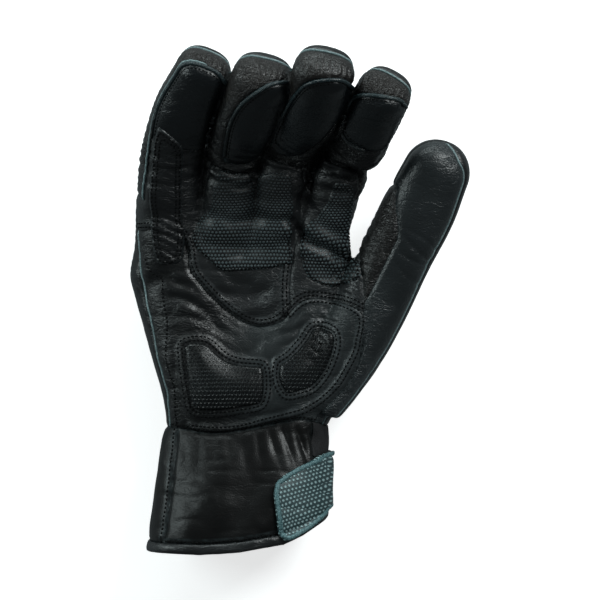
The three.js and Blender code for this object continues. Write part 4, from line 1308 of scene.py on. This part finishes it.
def laid_piece(name, source, values, low, high, round_over, material, dome=0.0, cloth=None, suffix=""):
    """A closed piece lying on a skin, inside the line where the values are 0, with a rounded edge."""
    _, inside = part(source, values)
    table, triangles = largest_part(inside)
    border = np.unique(border_of(triangles))
    distance = nearest_distance(table[:, PLACE], table[border][:, PLACE])
    t = np.clip(distance / round_over, 0, 1)
    edge = np.sqrt(np.maximum(1 - (1 - t) ** 2, 0))
    lift = low + 0.25 + (high - low - 0.25) * edge + dome * smoothstep(0, 9, distance)
    place, normal = table[:, PLACE], table[:, NORMAL]
    verts, faces = closed_shell(place + normal * lift[:, None], triangles, place + normal * low)
    # Painted shade at the finger roots, carried onto the laid pieces.
    painted_root_shade = root_painted_shade(table)
    attributes = {
        "edge": np.concatenate([distance, distance]), "painted_shade": np.concatenate([painted_root_shade, painted_root_shade])}
    if cloth is not None:
        flat = cloth(table)
        attributes["cloth"] = np.vstack([flat, flat])
    made = new_object(name + suffix, verts, faces, material, attributes)
    shaped = table.copy()
    shaped[:, PLACE] = place + normal * lift[:, None]
    return made, (shaped, triangles), distance


def joined(skins):
    """Several panels as one skin, welded where they share an edge."""
    tables, faces, count = [], [], 0
    for table, triangles in skins:
        tables.append(table)
        faces.append(triangles + count)
        count += len(table)
    table, triangles = np.vstack(tables), np.vstack(faces)
    keys = np.round(table[:, BASE] / 0.02).astype(np.int64)
    _, first, inverse = np.unique(keys, axis=0, return_index=True, return_inverse=True)
    triangles = inverse.ravel()[triangles]
    a, b, c = triangles.T
    return table[first], triangles[(a != b) & (b != c) & (a != c)]


def flat_cloth(table):
    """Cloth coordinates in mm that follow the palm and climb with the fingers."""
    x, y, z = table[:, BASE].T
    climb = smoothstep(85, 110, y)
    return np.stack([x, y + climb * 0.55 * (z - 36), np.zeros(len(x))], 1)


def overlay(name, outline, high, round_over, material, dome=0.0, source=palm_whole):
    values = seen_value(source[0][:, BASE], outline)
    made, shaped, distance = laid_piece(
        name + "_piece", source, values, -0.3, high, round_over, material, dome, flat_cloth)
    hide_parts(name)
    return made, shaped, distance


grip_outer, grip_outer_skin, _ = overlay("grip_patch_outer", GRIP_OUTER, 0.9, 0.9, GRIP_CLOTH)
grip_index, grip_index_skin, _ = overlay("grip_patch_index", GRIP_INDEX, 0.9, 0.9, GRIP_CLOTH)
slider_source = joined([palm_whole, raw["finger_front_little"], raw["finger_wall_little"]])
slider_table = slider_source[0]
y = slider_table[:, 27]
bunch = 0.3 + np.exp(-(((y - 92) / 6) ** 2)) + 0.8 * np.exp(-(((y - 76) / 4) ** 2))
sway = y + 0.45 * slider_table[:, 26] + 1.6 * noise(slider_table[:, BASE], (9, 7, 20), 21)
ruck = 0.4 * np.sin(sway * 2 * np.pi / 3.9) * bunch
slider_table[:, PLACE] += slider_table[:, NORMAL] * ruck[:, None]
slider, slider_skin, slider_edge = overlay(
    "side_slider", SLIDER, 1.4, 1.3, SLIDER_LEATHER, source=slider_source)
pad_outer, pad_outer_skin, pad_outer_edge = overlay("heel_pad_outer", HEEL_OUTER, 1.9, 1.6, PAD_LEATHER, 1.2)
pad_thumb, pad_thumb_skin, pad_thumb_edge = overlay("heel_pad_thumb", HEEL_THUMB, 1.9, 1.6, PAD_LEATHER, 1.2)


# ---- the hem's binding and the strap


def binding():
    table, triangles = panels["hem_binding"]
    border = np.unique(border_of(triangles))
    distance = nearest_distance(table[:, PLACE], table[border][:, PLACE])
    t = np.clip(distance / 2.2, 0, 1)
    lift = 0.75 * np.sqrt(np.maximum(1 - (1 - t) ** 2, 0)) - 0.1
    place, normal = table[:, PLACE], table[:, NORMAL]
    outer = place + normal * lift[:, None]
    inner = place - normal * (LEATHER + 0.2 + lift)[:, None]
    verts, faces = closed_shell(outer, triangles, inner)
    made = new_object(
        "hem_binding_leather", verts, faces, BLACK_LEATHER, {"edge": np.concatenate([distance, distance]) + 1})
    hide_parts("hem_binding")


binding()

def strap():
    source = joined([panels[name] for name in ("cuff_front", "cuff_back", "wrist_elastic", "hem_binding")])
    table = source[0]
    x, y, z = table[:, BASE].T
    outline = line_mm(STRAP_TAB, CUFF_LENGTH, closed=True)
    tab = np.minimum(inside_loop(outline, table[:, BASE][:, :2]), z - 21)
    band = np.minimum(np.minimum(y + 0.6 * CUFF_LENGTH, -0.19 * CUFF_LENGTH - y), x + 0.08 * PALM_WIDTH)
    band = np.minimum(band, 23 - z)
    values = np.maximum(tab, band)

    def cloth(rows):
        bx, by, bz = rows[:, BASE].T
        return np.stack([bx * 0.96 + by * 0.28, by * 0.96 - bx * 0.28, np.zeros(len(bx))], 1)

    made, shaped, distance = laid_piece(
        "strap_tab_rubber", source, values, 0.7, 2.9, 1.0, STRAP_RUBBER, 0.0, cloth)
    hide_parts("strap_tab")
    return shaped, distance


strap_skin, strap_edge = strap()


# ---- welts, piping and stitches


def tube(lines, name, width, height, lift, material, sides=8, pitch=0.9, ripple=0.0, darker=0.0):
    """Closed tubes of one width and height along lines on the skin."""
    verts, faces, count = [], [], 0
    for places, normals in lines:
        p, n, closed = evenly(places, normals, pitch)
        if len(p) < 5:
            continue
        tangent = unit(np.gradient(p, axis=0))
        side = unit(np.cross(tangent, n))
        up = np.cross(side, tangent)
        angle = np.linspace(0, 2 * np.pi, sides, endpoint=False)
        run = np.arange(len(p))
        swell = 1 + ripple * np.sin(run * 2.2 + np.sin(run * 0.7))
        taper = np.minimum(1, np.minimum(run, run[::-1]) / 2 + 0.35) if not closed else np.ones(len(p))
        grown = (swell * taper)[:, None, None]
        ring = (
            p[:, None] + up[:, None] * lift
            + side[:, None] * (np.cos(angle) * width / 2)[None, :, None] * grown
            + up[:, None] * (np.sin(angle) * height / 2)[None, :, None] * grown
        )
        rows = len(p)
        i = np.arange(sides)
        j = (i + 1) % sides
        for r in range(rows - 1):
            a, b = count + r * sides, count + (r + 1) * sides
            faces.append(np.stack([a + i, a + j, b + j], 1))
            faces.append(np.stack([a + i, b + j, b + i], 1))
        verts.append(ring.reshape(-1, 3))
        ends = np.stack([ring[0].mean(0), ring[-1].mean(0)])
        verts.append(ends)
        e = count + rows * sides
        faces.append(np.stack([np.full(sides, e), count + j, count + i], 1))
        last = count + (rows - 1) * sides
        faces.append(np.stack([np.full(sides, e + 1), last + i, last + j], 1))
        count = e + 2
    made_verts = np.vstack(verts)
    made_faces = np.vstack(faces)
    made_faces = turned_out(made_verts, made_faces)
    # Painted shade: the tubes darken by the given amount towards the palm, from y 152 down to 136 mm, away from the lit
    # fingertips.
    painted_shade = darker * smoothstep(152, 136, made_verts[:, 1])
    made = new_object(name, made_verts, made_faces, material, {"edge": np.full(len(made_verts), 9.0), "painted_shade": painted_shade})
    return made


def turned_out(verts, faces):
    a, b, c = verts[faces[:, 0]], verts[faces[:, 1]], verts[faces[:, 2]]
    volume = np.einsum("ij,ij->i", a, np.cross(b, c)).sum()
    return faces[:, ::-1] if volume < 0 else faces


def stitches(lines, name, material=THREAD, pitch=1.95, length=1.35, width=0.8, sink=0.15):
    """A row of small thread capsules along lines on the skin."""
    sides = 6
    angle = np.linspace(0, 2 * np.pi, sides, endpoint=False)
    profile = [(-0.5, 0.0), (-0.36, 0.85), (0.0, 1.0), (0.36, 0.85), (0.5, 0.0)]
    verts, faces, count = [], [], 0
    i = np.arange(sides)
    j = (i + 1) % sides
    for places, normals in lines:
        p, n, closed = evenly(places, normals, pitch, smooth=5)
        if len(p) < 3:
            continue
        tangent = unit(np.gradient(p, axis=0))
        for k in range(len(p) - 1):
            t, up = tangent[k], n[k]
            side = unit(np.cross(t, up))
            up = np.cross(side, t)
            middle = (p[k] + p[k + 1]) / 2 + up * sink
            rings = []
            for along, scale in profile[1:-1]:
                rings.append(
                    middle + t * along * length
                    + np.outer(np.cos(angle) * width / 2 * scale, side)
                    + np.outer(np.sin(angle) * width / 2 * scale, up) * 0.9
                )
            verts.append(np.vstack(rings + [[middle - t * length / 2], [middle + t * length / 2]]))
            a, b, c = count, count + sides, count + 2 * sides
            e = count + 3 * sides
            faces.append(np.vstack([
                np.stack([a + i, a + j, b + j], 1), np.stack([a + i, b + j, b + i], 1),
                np.stack([b + i, b + j, c + j], 1), np.stack([b + i, c + j, c + i], 1),
                np.stack([np.full(sides, e), a + j, a + i], 1),
                np.stack([np.full(sides, e + 1), c + i, c + j], 1),
            ]))
            count = e + 2
    made_verts, made_faces = np.vstack(verts), np.vstack(faces)
    made = new_object(name, made_verts, turned_out(made_verts, made_faces), material)
    return made


def lines_of(skin, values, level, keep=None):
    result = []
    for places, normals, rows in trace(skin, values, level):
        if keep is not None:
            mask = keep(rows)
            if not mask.any():
                continue
            jumps = np.flatnonzero(np.diff(mask.astype(int))) + 1
            for piece in np.split(np.arange(len(mask)), jumps):
                if mask[piece[0]] and len(piece) > 5:
                    result.append((places[piece], normals[piece]))
        elif len(places) > 5:
            result.append((places, normals))
    return result


def edge_values(name):
    skin = panels[name]
    border = np.unique(border_of(skin[1]))
    return nearest_distance(skin[0][:, PLACE], skin[0][border][:, PLACE])


welts, pipes, finger_threads = [], [], []
for name in FINGERS:
    front = panels["finger_front_" + name]
    h = digit_column(front[0], name, "h")
    joint = arc_at(name, JOINT_ROW[name])
    if name in FINGER_PADS:
        tip = arc_at(name, len(DIGITS[name]["rows"]) - 1)
        value = seen_value(front[0][:, BASE], FINGER_PADS[name])
        welts += lines_of(front, value, 0.5, lambda rows, name=name, tip=tip, joint=joint: (
            (digit_column(rows, name, "s") > joint + 9)
            & ((digit_column(rows, name, "a") < 6) | (digit_column(rows, name, "s") > tip - 5))))
        finger_threads += lines_of(front, value, 2.4, lambda rows, name=name, joint=joint: (
            (digit_column(rows, name, "a") < 4) & (digit_column(rows, name, "s") > joint + 9)))
    else:
        welts += lines_of(front, h, STRIP + 0.45)
        finger_threads += lines_of(
            front, h, STRIP + 2.2, lambda rows, name=name, joint=joint: digit_column(rows, name, "s") > joint + 2)
        wall = panels["finger_wall_" + name]
        pipes += lines_of(
            wall, digit_column(wall[0], name, "h"), STRIP - 0.9,
            lambda rows, name=name: digit_column(rows, name, "a") < 0)
    back = panels["finger_back_" + name]
    pipes += lines_of(back, digit_column(back[0], name, "h"), -STRIP_BACK - 0.3)
thumb_skin = panels["thumb_front"]
s, across, height, _ = thumb_skin[0][:, COLUMN["thumb"]:COLUMN["thumb"] + 4].T
pipes += lines_of(
    thumb_skin, height - 1 - 7 * smoothstep(-4, 8, across), 0.4,
    lambda rows: digit_column(rows, "thumb", "a") > -2)
# The welts carry painted highlight in their colour and painted shade towards the palm.
tube(welts, "finger_seam_welts", 1.9, 2.2, 0.5, WELT, ripple=0.12, darker=0.8)
tube(pipes, "finger_and_thumb_piping", 1.0, 1.2, 0.15, PIPING, sides=6)

palm_side = panels["palm_heel"]
side_rows = palm_side[0][:, BASE]
side_values = side_rows[:, 2] - (26 + 4 * smoothstep(-40, -60, side_rows[:, 0]) * smoothstep(0, 20, side_rows[:, 1]))
side_lines = lines_of(palm_side, side_values, 0.4, lambda rows: rows[:, 26] < -30)
tube(side_lines, "side_seam_piping", 1.1, 1.3, 0.15, PIPING, sides=6)

crescent_threads = []
upper = (np.vstack([panels["palm_outer"][0], panels["palm_inner"][0]]),
         np.vstack([panels["palm_outer"][1], panels["palm_inner"][1] + len(panels["palm_outer"][0])]))
crescent_value = seam_value(upper[0], CRESCENT_SEAM)
for offset in (1.3, 3.1):
    crescent_threads += lines_of(upper, crescent_value, offset, lambda rows: rows[:, 28] > 28)
middle_value = seam_value(panels["palm_outer"][0], MIDDLE_SEAM)
for offset in (1.3, 3.1):
    crescent_threads += lines_of(panels["palm_outer"], middle_value, offset, lambda rows: rows[:, 27] < 82)
heel_value = seam_value(palm_side[0], HEEL_LINE)
for offset in (-0.9, 0.9):
    crescent_threads += lines_of(
        palm_side, heel_value, offset, lambda rows: np.abs(seam_value(rows, HEEL_LINE)) < 1.6)
stitches(crescent_threads, "palm_stitching")

pad_threads = []
for outline in (HEEL_OUTER, HEEL_THUMB):
    value = seen_value(palm_side[0][:, BASE], outline)
    pad_threads += lines_of(palm_side, value, -1.2)
    pad_threads += lines_of(palm_side, value, -2.9)
stitches(pad_threads, "heel_pad_stitching")

slider_threads = []
for offset in (1.5, 3.2):
    slider_threads += lines_of(slider_skin, slider_edge, offset)
palm_left = lines_of(palm_side, side_values, 4.2, lambda rows: (rows[:, 26] < -40) & (rows[:, 27] < 80))
stitches(slider_threads + palm_left, "side_stitching")
stitches(finger_threads, "finger_stitching", pitch=1.8, length=1.2, width=0.55)

grip_threads = []
for patch_skin in (grip_outer_skin, grip_index_skin):
    border = np.unique(border_of(patch_skin[1]))
    value = nearest_distance(patch_skin[0][:, PLACE], patch_skin[0][border][:, PLACE])
    grip_threads += lines_of(patch_skin, value, 1.4, lambda rows: rows[:, 27] < 92)
stitches(grip_threads, "grip_stitching")

cuff_threads = []
cuff_front = panels["cuff_front"]
x, y, z = cuff_front[0][:, BASE].T
hem_value = y - np.interp(x, hem[:, 0], hem[:, 1]) - BINDING_WIDTH
cuff_threads += lines_of(cuff_front, hem_value, 1.0)
cuff_side = panels["cuff_side"]
side_value = np.interp(cuff_side[0][:, 27], side_line[:, 1], side_line[:, 0]) - cuff_side[0][:, 26]
cuff_threads += lines_of(cuff_side, side_value, 1.6)
wrist_value = np.interp(palm_side[0][:, 26], wrist[:, 0], wrist[:, 1])
cuff_threads += lines_of(palm_side, palm_side[0][:, 27] - wrist_value, 1.3)
stitches(cuff_threads, "cuff_stitching")

# Painted highlight lines: the edge distance drops to zero about 0.95 mm from each row of stitches, so the worn colour
# lights the ridges beside and between the rows.
for name in ("palm_outer", "palm_inner", "palm_heel", "cuff_front", "cuff_side"):
    sewn = np.vstack([places for places, _ in crescent_threads + pad_threads + palm_left + cuff_threads])
    outer = panels[name][0][:, PLACE]
    layer = bpy.data.objects[name + "_leather"].data.attributes["edge"]
    distance = np.empty(len(outer) * 2)
    layer.data.foreach_get("value", distance)
    near = np.abs(nearest_distance(outer, sewn[::2]) - 0.95) * 1.2
    distance[:len(outer)] = np.minimum(distance[:len(outer)], near)
    layer.data.foreach_set("value", distance)

border_lines = lines_of(strap_skin, strap_edge, 1.1)
tube(border_lines, "strap_tab_border", 2.1, 1.0, -0.05, STRAP_EDGE, ripple=0.15)


# ---- floor, light and camera


def soft_light(name, place, target, size, power, colour):
    light = bpy.data.lights.new(name, "AREA")
    light.shape = "RECTANGLE"
    light.size, light.size_y = size
    light.energy = power
    light.color = colour
    made = bpy.data.objects.new(name, light)
    made.location = place
    made.rotation_euler = (Vector(target) - Vector(place)).to_track_quat("-Z", "Y").to_euler()
    bpy.context.scene.collection.objects.link(made)


def floor():
    bpy.ops.object.select_all(action="DESELECT")
    bpy.ops.mesh.primitive_plane_add(size=6, location=(0, 0, -0.0002))
    made = bpy.context.object
    made.name = "floor"
    material, tree, shader = new_material("pale_floor")
    ray = node(tree, "ShaderNodeLightPath")
    pale = blend_colours(tree, ray.outputs["Is Camera Ray"], (0.32, 0.34, 0.35), (0.9, 0.9, 0.9))
    tree.links.new(pale, shader.inputs["Base Color"])
    tree.links.new(math_node(tree, "MULTIPLY", ray.outputs["Is Camera Ray"], 0.7), shader.inputs["Emission Strength"])
    shader.inputs["Emission Color"].default_value = (1, 1, 1, 1)
    shader.inputs["Roughness"].default_value = 0.9
    made.data.materials.append(material)


floor()
soft_light("light_upper_right", (0.75, 0.8, 0.9), (0, 0, 0.02), (0.5, 0.5), 11, (0.94, 1.0, 1.0))
soft_light("light_left", (-1.0, 0.35, 0.55), (0, 0, 0.02), (0.5, 0.8), 6, (0.86, 1.0, 1.0))
soft_light("light_fingers", (-0.15, 1.1, 0.4), (0, 0.05, 0.03), (0.9, 0.3), 6, (0.88, 1.0, 1.0))
world = bpy.data.worlds.new("studio")
world.use_nodes = True
world.node_tree.nodes["Background"].inputs["Color"].default_value = (0.86, 0.97, 1.0, 1)
world.node_tree.nodes["Background"].inputs["Strength"].default_value = 0.1
bpy.context.scene.world = world
bpy.context.scene.view_settings.view_transform = "Standard"

camera = bpy.data.objects.new("camera", bpy.data.cameras.new("camera"))
camera.data.sensor_width = 36
camera.data.lens = 137.4
camera.location = (0.000944, 0.001305, 1.1)
camera.rotation_euler = (0, 0, 0)
bpy.context.scene.collection.objects.link(camera)
bpy.context.scene.camera = camera

bpy.context.view_layer.update()
